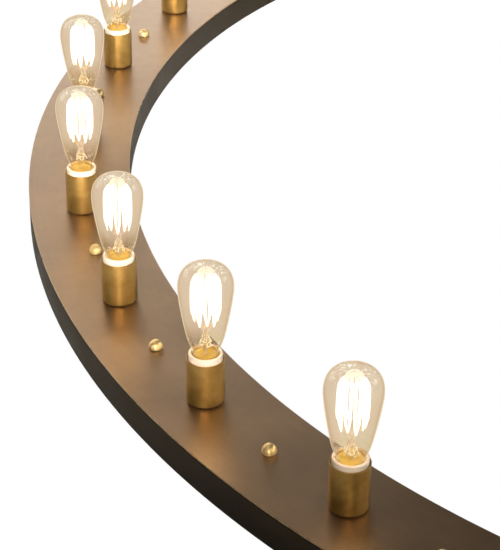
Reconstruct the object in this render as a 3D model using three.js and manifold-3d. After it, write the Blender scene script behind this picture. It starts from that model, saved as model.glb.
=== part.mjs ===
// Curved face-up light bar: a flat arc-shaped face plate on two dark side walls,
// eight upright brass socket cups with porcelain lampholders and squirrel-cage
// filament bulbs on the centre line, and a brass cap nut between each pair.
// The bar fits over a curved mounting rail whose welded studs come up through
// the face plate into the cap nuts.
// Millimetres, +Z up. Origin: centre of the footprint, on the plane the back
// edges rest on. +X runs along the chord, -Y faces the convex side.
import * as THREE from "three";
import { mergeVertices } from "three/addons/utils/BufferGeometryUtils.js";
import Module from "manifold-3d";

const wasm = await Module();
wasm.setup();

// ---- driving dimensions ----
const STATIONS = 8; // lampholders along the arc
const PITCH_DEG = 11.25; // angle from one lampholder to the next (32 to a full circle)
const END_DEG = 7.5; // from the last lampholder's axis to the end of the bar
const R = 1283; // radius of the centre line
const HALF_W = 70.5; // half the width of the face plate
const DEPTH = 43; // back plane to the top of the face plate
const PLATE_T = 2; // face plate thickness
const WALL_T = 1.5; // side wall and end cap thickness
const LIP_W = 10; // inward lip at the top of a side wall, under the face plate
const GAP = 0.3; // clearance between touching pieces
const ARC_STEPS = 40; // facets along the arc

const CUP_R = 22; // brass socket cup, outside radius
const CUP_H = 57; // cup rim above the face plate
const CUP_T = 1.2; // cup wall
const PORCELAIN_R = 19.9; // lampholder body, outside radius
const PORCELAIN_PROUD = 6.5; // lampholder rim above the cup rim
const MOUTH_R = 15.9; // mouth of the lampholder
const MOUTH_DEPTH = 9.5; // down to the step where the screw bore starts
const SCREW_BORE_R = 14; // bore that takes the bulb's screw cap
const NIPPLE_R = 4.8; // threaded nipple that clamps lampholder and cup to the plate
const NIPPLE_HOLE_R = 5.6;

const BULB_TOP = 174; // top of the glass above the face plate, screwed home
const SEAT = [-2.5, 2, -2.5, 2.5, 4, 0, 1, -1]; // how far each bulb stands off that, lamp 1 first
const BULB_LENGTH = 146; // overall, contact tip to top of the glass
const BULB_R = 31.5; // widest radius of the glass
const CAP_R = 13.2; // screw cap, outside radius
const CAP_LENGTH = 26;
const GLASS_T = 1.2;

const NUT_BALL_R = 8.6; // cap nut: most of a ball, cut flat at the foot
const NUT_BALL_Z = 2.6; // its centre above the face plate
const STUD_R = 2.5;
const STUD_TOP = 49.4;
const STUD_HOLE_R = 3.2;

const RAIL_HALF_W = 20; // curved mounting rail
const RAIL_T = 2.5;
const RAIL_END_DEG = 6.6; // rail end past the last lampholder's axis
const INLET_R = 11; // supply hole in the rail
const INLET_AT = 3.25; // its place along the arc, in pitches from the first lampholder
const SLOT_L = 24; // wall fixing slots in the rail
const SLOT_R = 2.6;
const SLOT_AT = [0.25, 2.75, 4.25, 6.75];
const GROUND_AT = 3.75;

const TRUNK_OFF = 34; // wiring: offset of the trunk from the centre line, outwards
const TRUNK_Z = 15;
const TRUNK_R = 4;
const BRANCH_R = 2.4;

// ---- derived ----
const HALF_DEG = ((STATIONS - 1) * PITCH_DEG) / 2 + END_DEG;
const D2R = Math.PI / 180;
const R_OUT = R + HALF_W,
  R_IN = R - HALF_W;
const CENTRE_Y = (R_OUT + R_IN * Math.cos(HALF_DEG * D2R)) / 2; // centre of curvature
const TOP = DEPTH; // top of the face plate
const UNDER = DEPTH - PLATE_T; // its underside
const WALL_TOP = UNDER - GAP;
const RIM = TOP + CUP_H;
const MOUTH = RIM + PORCELAIN_PROUD;
const GLASS_TOP = TOP + BULB_TOP;
const TIP = GLASS_TOP - BULB_LENGTH; // bulb's contact
const CAP_TOP = TIP + CAP_LENGTH;
const BORE_FLOOR = TIP + Math.min(...SEAT) - 1.2; // contact at the bottom of the screw bore

// Angle on the arc, in radians, of a place given in pitches from the first lampholder.
const angleAt = (k) =>
  (-90 + ((STATIONS - 1) * PITCH_DEG) / 2 - PITCH_DEG * k) * D2R;
const pointAt = (k, off = 0, z = 0) => {
  const a = angleAt(k);
  return new THREE.Vector3(
    (R + off) * Math.cos(a),
    CENTRE_Y + (R + off) * Math.sin(a),
    z,
  );
};

// ---- colours, roughness, metalness of each finish ----
const FINISH = {
  bronze: { color: 0x8a6b4b, roughness: 0.42, metalness: 0.8 },
  dark: { color: 0x2a2622, roughness: 0.5, metalness: 0.4 },
  brass: { color: 0xa67a36, roughness: 0.34, metalness: 0.95 },
  nut: { color: 0xc9a05c, roughness: 0.25, metalness: 0.95 },
  porcelain: { color: 0xf2e9dd, roughness: 0.25, metalness: 0.0 },
  cap: { color: 0xd6a24a, roughness: 0.3, metalness: 0.95 },
  glass: { color: 0xf2dcb0, roughness: 0.05, metalness: 0.0, transparent: true, opacity: 0.3 },
  filament: { color: 0xfff0d0, roughness: 0.5, metalness: 0.1 },
  steel: { color: 0x9c9c98, roughness: 0.45, metalness: 0.85 },
  wire: { color: 0x1d1d1f, roughness: 0.6, metalness: 0.0 },
  nylon: { color: 0x202020, roughness: 0.6, metalness: 0.0 },
  green: { color: 0x2f7a3c, roughness: 0.45, metalness: 0.4 },
  red: { color: 0xa8352c, roughness: 0.55, metalness: 0.0 },
  grey: { color: 0xb9b9b4, roughness: 0.55, metalness: 0.0 },
};

const group = new THREE.Group();
function add(name, geometry, finish, position) {
  const mesh = new THREE.Mesh(
    geometry,
    new THREE.MeshStandardMaterial(FINISH[finish]),
  );
  mesh.name = name;
  if (position) mesh.position.copy(position);
  group.add(mesh);
  return mesh;
}

// ---- geometry helpers ----
function bare(geometry) {
  const g = geometry.clone();
  g.deleteAttribute("normal");
  g.deleteAttribute("uv");
  return mergeVertices(g, 1e-4);
}
function toSolid(geometry) {
  const g = bare(geometry);
  return new wasm.Manifold(
    new wasm.Mesh({
      numProp: 3,
      vertProperties: new Float32Array(g.attributes.position.array),
      triVerts: new Uint32Array(g.index.array),
    }),
  );
}
function toGeometry(solid) {
  const m = solid.getMesh();
  const p = new Float32Array(m.numVert * 3);
  for (let i = 0; i < m.numVert; i++)
    for (let j = 0; j < 3; j++) p[3 * i + j] = m.vertProperties[m.numProp * i + j];
  const g = new THREE.BufferGeometry();
  g.setAttribute("position", new THREE.BufferAttribute(p, 3));
  g.setIndex(new THREE.BufferAttribute(new Uint32Array(m.triVerts), 1));
  g.computeVertexNormals();
  return g;
}
const join = (first, ...rest) =>
  toGeometry(rest.reduce((s, g) => s.add(toSolid(g)), toSolid(first)));

// A turned piece about Z. Profile points are [radius, height], up the outside
// and back down the inside, so that the faces point out.
function turned(profile, sides) {
  const g = new THREE.LatheGeometry(
    profile.map(([r, z]) => new THREE.Vector2(r, z)),
    sides,
  );
  g.rotateX(Math.PI / 2);
  return bare(g);
}

// Arc of the bar as a path, for swept sections.
class BarArc extends THREE.Curve {
  constructor(k0, k1, off, z) {
    super();
    Object.assign(this, { a0: angleAt(k0), a1: angleAt(k1), r: R + off, z });
  }
  getPoint(t, target = new THREE.Vector3()) {
    const a = this.a0 + (this.a1 - this.a0) * t;
    return target.set(this.r * Math.cos(a), CENTRE_Y + this.r * Math.sin(a), this.z);
  }
  getTangent(t, target = new THREE.Vector3()) {
    const a = this.a0 + (this.a1 - this.a0) * t,
      s = Math.sign(this.a1 - this.a0);
    return target.set(-s * Math.sin(a), s * Math.cos(a), 0);
  }
  getUtoTmapping(u) {
    return u;
  }
}
// Sweeps a section, given as [offset outwards, height], from k0 to k1.
function sweptArc(section, k0, k1, steps) {
  const path = new BarArc(k1, k0, 0, 0); // angle increasing: section x is down, y is inwards
  const shape = new THREE.Shape(section.map(([o, z]) => new THREE.Vector2(-z, -o)));
  return bare(
    new THREE.ExtrudeGeometry(shape, { steps, bevelEnabled: false, extrudePath: path }),
  );
}
// Outline of a flat arc-shaped strip, with facets that start and end on k0 and k1.
function stripShape(k0, k1, halfW, steps) {
  const at = (off, t) => {
    const p = pointAt(k0 + (k1 - k0) * t, off);
    return new THREE.Vector2(p.x, p.y);
  };
  const pts = [];
  for (let i = 0; i <= steps; i++) pts.push(at(halfW, i / steps));
  for (let i = steps; i >= 0; i--) pts.push(at(-halfW, i / steps));
  return new THREE.Shape(pts);
}
function roundHole(k, off, radius, sides) {
  const c = pointAt(k, off);
  const pts = [];
  for (let i = 0; i < sides; i++) {
    const a = (2 * Math.PI * (i + 0.5)) / sides;
    pts.push(new THREE.Vector2(c.x + radius * Math.cos(a), c.y + radius * Math.sin(a)));
  }
  return new THREE.Path(pts);
}
function slotHole(k, off, length, radius) {
  const c = pointAt(k, off),
    a = angleAt(k) + Math.PI / 2,
    half = length / 2 - radius;
  const pts = [];
  for (const [side, start] of [[1, -Math.PI / 2], [-1, Math.PI / 2]])
    for (let i = 0; i <= 4; i++) {
      const b = a + start + (Math.PI * i) / 4;
      pts.push(
        new THREE.Vector2(
          c.x + side * half * Math.cos(a) + radius * Math.cos(b),
          c.y + side * half * Math.sin(a) + radius * Math.sin(b),
        ),
      );
    }
  return new THREE.Path(pts);
}
function slab(shape, z, thickness) {
  const g = new THREE.ExtrudeGeometry(shape, { depth: thickness, bevelEnabled: false });
  g.translate(0, 0, z);
  return bare(g);
}
// A round rod along a polyline, closed at both ends.
function rod(points, radius, sides, steps) {
  const path = new THREE.CurvePath();
  for (let i = 1; i < points.length; i++)
    path.add(new THREE.LineCurve3(points[i - 1], points[i]));
  const curve =
    points.length === 2
      ? path
      : new THREE.CatmullRomCurve3(points, false, "centripetal");
  const ring = [];
  for (let i = 0; i < sides; i++)
    ring.push(
      new THREE.Vector2(
        radius * Math.cos((2 * Math.PI * i) / sides),
        radius * Math.sin((2 * Math.PI * i) / sides),
      ),
    );
  return bare(
    new THREE.ExtrudeGeometry(new THREE.Shape(ring), {
      steps,
      bevelEnabled: false,
      extrudePath: curve,
    }),
  );
}

const FIRST = -END_DEG / PITCH_DEG;
const LAST = STATIONS - 1 + END_DEG / PITCH_DEG;
const NUT_PLACES = [];
for (let i = 0; i <= STATIONS; i++) NUT_PLACES.push(i - 0.5);

// ---- face plate ----
{
  const shape = stripShape(FIRST, LAST, HALF_W, ARC_STEPS);
  for (let k = 0; k < STATIONS; k++) shape.holes.push(roundHole(k, 0, NIPPLE_HOLE_R, 10));
  for (const k of NUT_PLACES) shape.holes.push(roundHole(k, 0, STUD_HOLE_R, 8));
  add("face_plate", slab(shape, UNDER, PLATE_T), "bronze");
}

// ---- side walls: a rolled band with an inward lip under the face plate ----
const capDeg = ((WALL_T + 2 * GAP) / R_IN / D2R) / PITCH_DEG; // room for the end caps, in pitches
add(
  "outer_side_wall",
  sweptArc(
    [
      [HALF_W, 0],
      [HALF_W, WALL_TOP],
      [HALF_W - LIP_W, WALL_TOP],
      [HALF_W - LIP_W, WALL_TOP - WALL_T],
      [HALF_W - WALL_T, WALL_TOP - WALL_T],
      [HALF_W - WALL_T, 0],
    ],
    FIRST + capDeg,
    LAST - capDeg,
    ARC_STEPS,
  ),
  "dark",
);
add(
  "inner_side_wall",
  sweptArc(
    [
      [-HALF_W, 0],
      [-HALF_W + WALL_T, 0],
      [-HALF_W + WALL_T, WALL_TOP - WALL_T],
      [-HALF_W + LIP_W, WALL_TOP - WALL_T],
      [-HALF_W + LIP_W, WALL_TOP],
      [-HALF_W, WALL_TOP],
    ],
    FIRST + capDeg,
    LAST - capDeg,
    ARC_STEPS,
  ),
  "dark",
);

// ---- end caps: a flat plate across the channel with a foot tab folded inwards ----
for (const [name, k, side] of [
  ["end_cap_right", FIRST, 1],
  ["end_cap_left", LAST, -1],
]) {
  const plate = new THREE.BoxGeometry(2 * HALF_W, WALL_T, WALL_TOP);
  plate.translate(0, -WALL_T / 2, WALL_TOP / 2);
  const tab = new THREE.BoxGeometry(60, 12, WALL_T);
  tab.translate(0, -6, WALL_TOP - WALL_T / 2);
  const g = join(plate, tab);
  // local +X outwards along the radius, local +Y out of the bar's end
  const a = angleAt(k);
  const m = new THREE.Matrix4();
  if (side > 0) {
    g.rotateZ(a);
  } else {
    g.scale(1, -1, 1);
    g.index.array.forEach((_, i, arr) => {
      if (i % 3 === 0) [arr[i + 1], arr[i + 2]] = [arr[i + 2], arr[i + 1]];
    });
    g.rotateZ(a);
  }
  m.identity();
  const c = pointAt(k);
  g.translate(c.x, c.y, 0);
  add(name, bare(g), "dark");
}

// ---- mounting rail with its welded studs ----
{
  const shape = stripShape(-RAIL_END_DEG / PITCH_DEG, STATIONS - 1 + RAIL_END_DEG / PITCH_DEG, RAIL_HALF_W, ARC_STEPS);
  shape.holes.push(roundHole(INLET_AT, 0, INLET_R, 12));
  shape.holes.push(roundHole(GROUND_AT, -8, 2.2, 8));
  for (const k of SLOT_AT) shape.holes.push(slotHole(k, 0, SLOT_L, SLOT_R));
  const studs = NUT_PLACES.map((k) => {
    const stud = new THREE.CylinderGeometry(STUD_R, STUD_R, STUD_TOP - 1, 8);
    stud.rotateX(Math.PI / 2);
    const c = pointAt(k);
    stud.translate(c.x, c.y, 1 + (STUD_TOP - 1) / 2);
    return stud;
  });
  add("mounting_rail", join(slab(shape, 0, RAIL_T), ...studs), "steel");
}

// ---- cap nuts ----
const nutProfile = [
  [STUD_R + 0.5, TOP + GAP],
  [NUT_BALL_R * 0.94, TOP + GAP],
  ...[0, 32, 62].map((deg) => [
    NUT_BALL_R * Math.cos(deg * D2R),
    TOP + NUT_BALL_Z + NUT_BALL_R * Math.sin(deg * D2R),
  ]),
  [0, TOP + NUT_BALL_Z + NUT_BALL_R],
  [0, STUD_TOP + 0.5],
  [STUD_R + 0.5, STUD_TOP + 0.5],
  [STUD_R + 0.5, TOP + GAP],
];
NUT_PLACES.forEach((k, i) =>
  add(`cap_nut_${i + 1}`, turned(outsideUp(nutProfile), 10), "nut", pointAt(k)),
);
// Keeps a closed profile's winding so that the turned faces point out.
function outsideUp(profile) {
  let area = 0;
  for (let i = 0; i < profile.length; i++) {
    const [x0, y0] = profile[i],
      [x1, y1] = profile[(i + 1) % profile.length];
    area += x0 * y1 - x1 * y0;
  }
  return area > 0 ? profile : [...profile].reverse();
}

// ---- one lamp at each station ----
const cupProfile = [
  [NIPPLE_HOLE_R, TOP + GAP],
  [CUP_R - 3.5, TOP + GAP],
  [CUP_R - 0.8, TOP + GAP + 1.3],
  [CUP_R, TOP + GAP + 4],
  [CUP_R, RIM],
  [CUP_R - CUP_T, RIM],
  [CUP_R - CUP_T, TOP + GAP + 3.4],
  [CUP_R - 3.8, TOP + GAP + CUP_T],
  [NIPPLE_HOLE_R, TOP + GAP + CUP_T],
  [NIPPLE_HOLE_R, TOP + GAP],
];
const lampholderProfile = [
  [0, 30],
  [NIPPLE_R, 30],
  [NIPPLE_R, UNDER - GAP - 4.5],
  [8.6, UNDER - GAP - 4.5],
  [8.6, UNDER - GAP],
  [NIPPLE_R, UNDER - GAP],
  [NIPPLE_R, TOP + 2.2],
  [16.5, TOP + 2.2],
  [PORCELAIN_R, TOP + 6],
  [PORCELAIN_R, MOUTH - 2],
  [PORCELAIN_R - 1.6, MOUTH],
  [MOUTH_R + 0.8, MOUTH],
  [MOUTH_R, MOUTH - 1],
  [MOUTH_R, MOUTH - MOUTH_DEPTH],
  [SCREW_BORE_R, MOUTH - MOUTH_DEPTH],
  [SCREW_BORE_R, BORE_FLOOR],
  [0, BORE_FLOOR],
];
const capProfile = [
  [0, TIP],
  [4.6, TIP + 0.6],
  [5.2, TIP + 2],
  [CAP_R, TIP + 7],
  [CAP_R, CAP_TOP],
  [CAP_R - 0.7, CAP_TOP],
  [CAP_R - 0.7, TIP + 9],
  [0, TIP + 9],
];
const neckR = CAP_R - 1.1;
const glassProfile = [
  [neckR, TIP + 16],
  [neckR + 0.2, TIP + 25.6],
  [13.4, TIP + 29.5],
  [15.2, TIP + 38],
  [18.6, TIP + 45],
  [22, TIP + 57],
  [27.2, TIP + 84],
  [30.6, TIP + 105],
  [BULB_R, TIP + 117],
  [29.3, TIP + 130.5],
  [21, TIP + 140.6],
  [11, TIP + 144.8],
  [0, TIP + BULB_LENGTH],
  [0, TIP + BULB_LENGTH - GLASS_T],
  [20, TIP + 139],
  [BULB_R - GLASS_T, TIP + 117],
  [17.2, TIP + 45.3],
  [13.9, TIP + 37.8],
  [neckR - 1, TIP + 27],
  [neckR - 1, TIP + 16],
  [neckR, TIP + 16],
];
// Filament mount: glass stem, centre rod, top supports and the filament strung
// up and down between them.
function filamentMount() {
  const stem = turned(
    [
      [0, TIP + 16.5],
      [8.6, TIP + 16.5],
      [8, TIP + 20],
      [4.4, TIP + 32],
      [3.2, TIP + 46],
      [1.2, TIP + 50],
      [1.2, GLASS_TOP - 5],
      [0, GLASS_TOP - 4],
    ],
    6,
  );
  const legs = 3,
    rc = 16.5,
    low = TIP + 65,
    high = TIP + 124;
  const pieces = [];
  for (let i = 0; i < legs; i++) {
    const a = (2 * Math.PI * (i + 0.25)) / legs,
      d = Math.PI / legs;
    const at = (r, z, da = 0) =>
      new THREE.Vector3(r * Math.cos(a + da), r * Math.sin(a + da), z);
    // one support, one strand down and one strand back up to the next support
    pieces.push(rod([at(0.2, GLASS_TOP - 7), at(rc, high)], 0.8, 3, 1));
    pieces.push(rod([at(rc, high + 0.6), at(rc, low, d)], 0.8, 3, 1));
    pieces.push(rod([at(rc, low, d), at(rc, high + 0.6, 2 * d)], 0.8, 3, 1));
  }
  return join(stem, ...pieces);
}
const mountGeometry = filamentMount();
for (let k = 0; k < STATIONS; k++) {
  const p = pointAt(k),
    seat = pointAt(k, 0, SEAT[k]), // bulbs are never screwed in quite alike
    n = k + 1;
  add(`socket_cup_${n}`, turned(outsideUp(cupProfile), 12), "brass", p);
  add(`lampholder_${n}`, turned(outsideUp(lampholderProfile), 12), "porcelain", p);
  add(`bulb_cap_${n}`, turned(outsideUp(capProfile), 12), "cap", seat);
  add(`bulb_glass_${n}`, turned(outsideUp(glassProfile), 12), "glass", seat);
  add(`bulb_filament_${n}`, mountGeometry.clone(), "filament", seat);
}

// ---- wiring ----
{
  const trunk = sweptArc(
    [0, 1, 2, 3, 4, 5].map((i) => [
      TRUNK_OFF + TRUNK_R * Math.cos((Math.PI * i) / 3),
      TRUNK_Z + TRUNK_R * Math.sin((Math.PI * i) / 3),
    ]),
    -0.04,
    STATIONS - 1 + 0.04,
    28,
  );
  const branches = [];
  for (let k = 0; k < STATIONS; k++)
    branches.push(
      rod(
        [pointAt(k, TRUNK_OFF, TRUNK_Z), pointAt(k, 16, 15.5), pointAt(k, 2, 19), pointAt(k, 0, 28.8)],
        BRANCH_R,
        5,
        4,
      ),
    );
  for (const k of [3.02, 3.12])
    branches.push(rod([pointAt(k, TRUNK_OFF, TRUNK_Z), pointAt(k, 9 + GAP, 10)], 1.7, 5, 1));
  add("wire_harness", join(trunk, ...branches), "wire");
}
// Twist-on connectors where the supply is spliced to the trunk.
for (const [name, k, finish] of [
  ["wire_connector_live", 3.02, "red"],
  ["wire_connector_neutral", 3.12, "grey"],
]) {
  const g = turned(
    [
      [0, 0],
      [5.6, 0],
      [6, 3],
      [5.4, 14],
      [3.2, 20],
      [0, 21],
    ],
    8,
  );
  g.rotateY(-Math.PI / 2); // axis along -X: lies with its tip inwards once turned
  g.rotateZ(angleAt(k));
  const p = pointAt(k, 9 - 0.4, 10);
  g.translate(p.x, p.y, p.z);
  add(name, g, finish);
}

// ---- supply bushing and ground screw in the rail ----
add(
  "inlet_bushing",
  turned(
    outsideUp([
      [7.2, GAP],
      [10.3, GAP],
      [10.3, RAIL_T + GAP],
      [13.2, RAIL_T + GAP],
      [13.2, RAIL_T + 1.6],
      [9, RAIL_T + 3],
      [7.2, RAIL_T + 3],
      [7.2, GAP],
    ]),
    12,
  ),
  "nylon",
  pointAt(INLET_AT),
);
add(
  "ground_screw",
  turned(
    [
      [0, GAP],
      [1.7, GAP],
      [1.7, RAIL_T + GAP],
      [4.6, RAIL_T + GAP],
      [4.6, RAIL_T + 2.2],
      [2.6, RAIL_T + 3.6],
      [0, RAIL_T + 3.8],
    ],
    8,
  ),
  "green",
  pointAt(GROUND_AT, -8),
);

export default group;
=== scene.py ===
import math

import bmesh
import bpy
import numpy as np
from mathutils import Matrix, Vector


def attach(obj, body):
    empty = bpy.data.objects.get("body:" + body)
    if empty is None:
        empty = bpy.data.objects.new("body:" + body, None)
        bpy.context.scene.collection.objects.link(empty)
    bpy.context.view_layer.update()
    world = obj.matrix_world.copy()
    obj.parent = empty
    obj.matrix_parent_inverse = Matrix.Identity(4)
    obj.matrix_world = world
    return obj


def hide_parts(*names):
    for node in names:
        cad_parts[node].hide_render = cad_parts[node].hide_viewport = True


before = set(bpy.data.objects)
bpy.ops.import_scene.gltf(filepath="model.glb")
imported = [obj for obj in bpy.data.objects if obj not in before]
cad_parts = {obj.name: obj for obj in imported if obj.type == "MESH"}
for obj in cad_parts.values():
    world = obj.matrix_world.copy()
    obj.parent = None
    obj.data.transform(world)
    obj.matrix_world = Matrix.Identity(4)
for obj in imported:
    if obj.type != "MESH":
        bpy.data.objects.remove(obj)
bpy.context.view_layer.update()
scene = bpy.context.scene

# ---------------------------------------------------------------- dimensions
# Millimetres, as in the CAD part.
STATIONS, PITCH_DEG, END_DEG = 8, 11.25, 7.5
R, HALF_W, DEPTH = 1283.0, 70.5, 43.0
PLATE_T, WALL_T, LIP_W, GAP = 2.0, 1.5, 10.0, 0.3
CUP_R, CUP_H, CUP_T = 22.0, 57.0, 1.2
PORCELAIN_R, MOUTH_R, SCREW_BORE_R = 19.9, 15.9, 14.0
NIPPLE_R, NIPPLE_HOLE_R = 4.8, 5.6
BULB_TOP, BULB_LENGTH, BULB_R, CAP_R, CAP_LENGTH = 174.0, 146.0, 31.5, 13.2, 26.0
SEAT = (-2.5, 2.0, -2.5, 2.5, 4.0, 0.0, 1.0, -1.0)
NUT_BALL_R, NUT_BALL_Z = 8.6, 2.6
STUD_R, STUD_TOP, STUD_HOLE_R = 2.5, 49.4, 3.2
RAIL_HALF_W, RAIL_T, RAIL_END_DEG = 20.0, 2.5, 6.6
INLET_R, INLET_AT, GROUND_AT = 11.0, 3.25, 3.75
SLOT_L, SLOT_R, SLOT_AT = 24.0, 2.6, (0.25, 2.75, 4.25, 6.75)
TRUNK_OFF, TRUNK_Z, TRUNK_R = 34.0, 15.0, 4.0

HALF_DEG = (STATIONS - 1) * PITCH_DEG / 2 + END_DEG
R_OUT, R_IN = R + HALF_W, R - HALF_W
CENTRE_Y = (R_OUT + R_IN * math.cos(math.radians(HALF_DEG))) / 2
TOP = DEPTH
UNDER = DEPTH - PLATE_T
WALL_TOP = UNDER - GAP
RIM = TOP + CUP_H
MOUTH = RIM + 6.5
GLASS_TOP = TOP + BULB_TOP
TIP = GLASS_TOP - BULB_LENGTH
CAP_TOP = TIP + CAP_LENGTH
BORE_FLOOR = TIP + min(SEAT) - 1.2
FIRST, LAST = -END_DEG / PITCH_DEG, STATIONS - 1 + END_DEG / PITCH_DEG
NUT_PLACES = [i - 0.5 for i in range(STATIONS + 1)]
MM = 0.001


def angle_at(k):
    return math.radians(-90 + (STATIONS - 1) * PITCH_DEG / 2 - PITCH_DEG * k)


def point_at(k, off=0.0, z=0.0):
    a = angle_at(k)
    return Vector(((R + off) * math.cos(a), CENTRE_Y + (R + off) * math.sin(a), z))


# ---------------------------------------------------------------- mesh helpers
def build_mesh(name, verts, faces, mats, face_mats=None, sharp=30.0, tidy=True):
    """A mesh from points in millimetres. Faces are turned to face out and edges sharper than the angle stay crisp."""
    me = bpy.data.meshes.new(name)
    me.from_pydata([(x * MM, y * MM, z * MM) for x, y, z in verts], [], faces)
    for m in mats:
        me.materials.append(m)
    if face_mats is not None:
        me.polygons.foreach_set("material_index", np.asarray(face_mats, np.int32))
    if tidy:
        bm = bmesh.new()
        bm.from_mesh(me)
        bmesh.ops.remove_doubles(bm, verts=bm.verts, dist=1e-6)
        bmesh.ops.recalc_face_normals(bm, faces=bm.faces)
        bm.to_mesh(me)
        bm.free()
    me.polygons.foreach_set("use_smooth", np.ones(len(me.polygons), bool))
    me.set_sharp_from_angle(angle=math.radians(sharp))
    me.update()
    return me


def place(name, me, body, nodes=(), at=(0, 0, 0), turn=0.0, matrix=None):
    """An object for a mesh, put in place, riding on its body."""
    ob = bpy.data.objects.new(name, me)
    scene.collection.objects.link(ob)
    if matrix is not None:
        ob.matrix_world = matrix
    else:
        ob.matrix_world = Matrix.Translation(Vector(at) * MM) @ Matrix.Rotation(
            turn, 4, "Z"
        )
    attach(ob, body)
    if nodes:
        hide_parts(*nodes)
    return ob


def rounded(points, seg=4, closed=True):
    """A polygon whose corners are rounded: points are (x, y, radius)."""
    n = len(points)
    out = []
    for i, p in enumerate(points):
        x, y = p[0], p[1]
        rad = p[2] if len(p) > 2 else 0
        if rad <= 0 or (not closed and i in (0, n - 1)):
            out.append((x, y))
            continue
        a, b = points[i - 1], points[(i + 1) % n]
        va = np.array([a[0] - x, a[1] - y], float)
        vb = np.array([b[0] - x, b[1] - y], float)
        la, lb = np.linalg.norm(va), np.linalg.norm(vb)
        va, vb = va / la, vb / lb
        if np.linalg.norm(va + vb) < 1e-6:
            out.append((x, y))  # a point on a straight run has no corner to round
            continue
        beta = math.acos(max(-1, min(1, float(va @ vb))))
        t = min(rad / math.tan(beta / 2), 0.49 * la, 0.49 * lb)
        rr = t * math.tan(beta / 2)
        mid = (va + vb) / np.linalg.norm(va + vb)
        centre = np.array([x, y]) + mid * rr / math.sin(beta / 2)
        s, e = np.array([x, y]) + va * t, np.array([x, y]) + vb * t
        a0 = math.atan2(*(s - centre)[::-1])
        a1 = math.atan2(*(e - centre)[::-1])
        d = (a1 - a0 + math.pi) % (2 * math.pi) - math.pi
        for j in range(seg + 1):
            ang = a0 + d * j / seg
            out.append((centre[0] + rr * math.cos(ang), centre[1] + rr * math.sin(ang)))
    return out


def curve_through(points, per=6):
    """Catmull-Rom through 2D or 3D points, centripetal enough for these shapes."""
    p = [np.array(q, float) for q in points]
    p = [2 * p[0] - p[1]] + p + [2 * p[-1] - p[-2]]
    out = []
    for i in range(1, len(p) - 2):
        for j in range(per):
            t = j / per
            a, b, c, d = p[i - 1], p[i], p[i + 1], p[i + 2]
            out.append(
                0.5
                * (
                    2 * b
                    + (c - a) * t
                    + (2 * a - 5 * b + 4 * c - d) * t * t
                    + (3 * b - a - 3 * c + d) * t**3
                )
            )
    out.append(p[-2])
    return out


def lathe(profile, seg=64, closed=True, mats=None, radius=None):
    """Turned shape: profile is (r, z) up the outside and down the inside. mats gives a material index per profile step. radius(r, z, angle) can shape it further."""
    verts, rows = [], []
    for r, z in profile:
        if r < 1e-6:
            rows.append([len(verts)])
            verts.append((0, 0, z))
        else:
            row = []
            for j in range(seg):
                a = 2 * math.pi * j / seg
                rr = radius(r, z, a) if radius else r
                row.append(len(verts))
                verts.append((rr * math.cos(a), rr * math.sin(a), z))
            rows.append(row)
    faces, fm = [], []
    pairs = [(i, i + 1) for i in range(len(rows) - 1)]
    if closed and not (len(rows[0]) == 1 and len(rows[-1]) == 1):
        pairs.append((len(rows) - 1, 0))
    for i, k in pairs:
        a, b = rows[i], rows[k]
        m = mats[i] if mats else 0
        if len(a) == 1 and len(b) == 1:
            continue
        for j in range(seg):
            j2 = (j + 1) % seg
            if len(a) == 1:
                faces.append((a[0], b[j2], b[j]))
            elif len(b) == 1:
                faces.append((a[j], a[j2], b[0]))
            else:
                faces.append((a[j], a[j2], b[j2], b[j]))
            fm.append(m)
    return verts, faces, fm


def swept(section, k0, k1, steps):
    """A closed section of (offset outwards, height) swept along the arc."""
    verts, faces = [], []
    n = len(section)
    for i in range(steps + 1):
        k = k0 + (k1 - k0) * i / steps
        for off, z in section:
            verts.append(tuple(point_at(k, off, z)))
    for i in range(steps):
        for j in range(n):
            j2 = (j + 1) % n
            faces.append(
                (i * n + j, i * n + j2, (i + 1) * n + j2, (i + 1) * n + j)
            )
    faces.append(tuple(range(n)))
    faces.append(tuple(steps * n + j for j in range(n))[::-1])
    return verts, faces


def tube(points, radius, sides=10, closed=False):
    """A round tube along 3D points. radius is a number or one per point."""
    p = [np.array(q, float) for q in points]
    n = len(p)
    rad = [radius] * n if np.isscalar(radius) else list(radius)
    tangents = []
    for i in range(n):
        if closed:
            t = p[(i + 1) % n] - p[i - 1]
        else:
            t = p[min(i + 1, n - 1)] - p[max(i - 1, 0)]
        tangents.append(t / (np.linalg.norm(t) + 1e-12))
    ref = np.array([0, 0, 1.0]) if abs(tangents[0][2]) < 0.9 else np.array([1.0, 0, 0])
    u = np.cross(tangents[0], ref)
    u /= np.linalg.norm(u)
    verts, faces = [], []
    for i in range(n):
        u = u - tangents[i] * (u @ tangents[i])
        u /= np.linalg.norm(u)
        v = np.cross(tangents[i], u)
        for j in range(sides):
            a = 2 * math.pi * j / sides
            verts.append(tuple(p[i] + rad[i] * (math.cos(a) * u + math.sin(a) * v)))
    last = n if closed else n - 1
    for i in range(last):
        i2 = (i + 1) % n
        for j in range(sides):
            j2 = (j + 1) % sides
            faces.append(
                (i * sides + j, i * sides + j2, i2 * sides + j2, i2 * sides + j)
            )
    if not closed:
        faces.append(tuple(range(sides))[::-1])
        faces.append(tuple((n - 1) * sides + j for j in range(sides)))
    return verts, faces


def ball(centre, radius, squash=1.0, seg=14, rings=8):
    prof = []
    for i in range(rings + 1):
        a = -math.pi / 2 + math.pi * i / rings
        prof.append((max(0.0, radius * math.cos(a)), radius * squash * math.sin(a)))
    v, f, _ = lathe(prof, seg, closed=False)
    return [(x + centre[0], y + centre[1], z + centre[2]) for x, y, z in v], f


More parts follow.
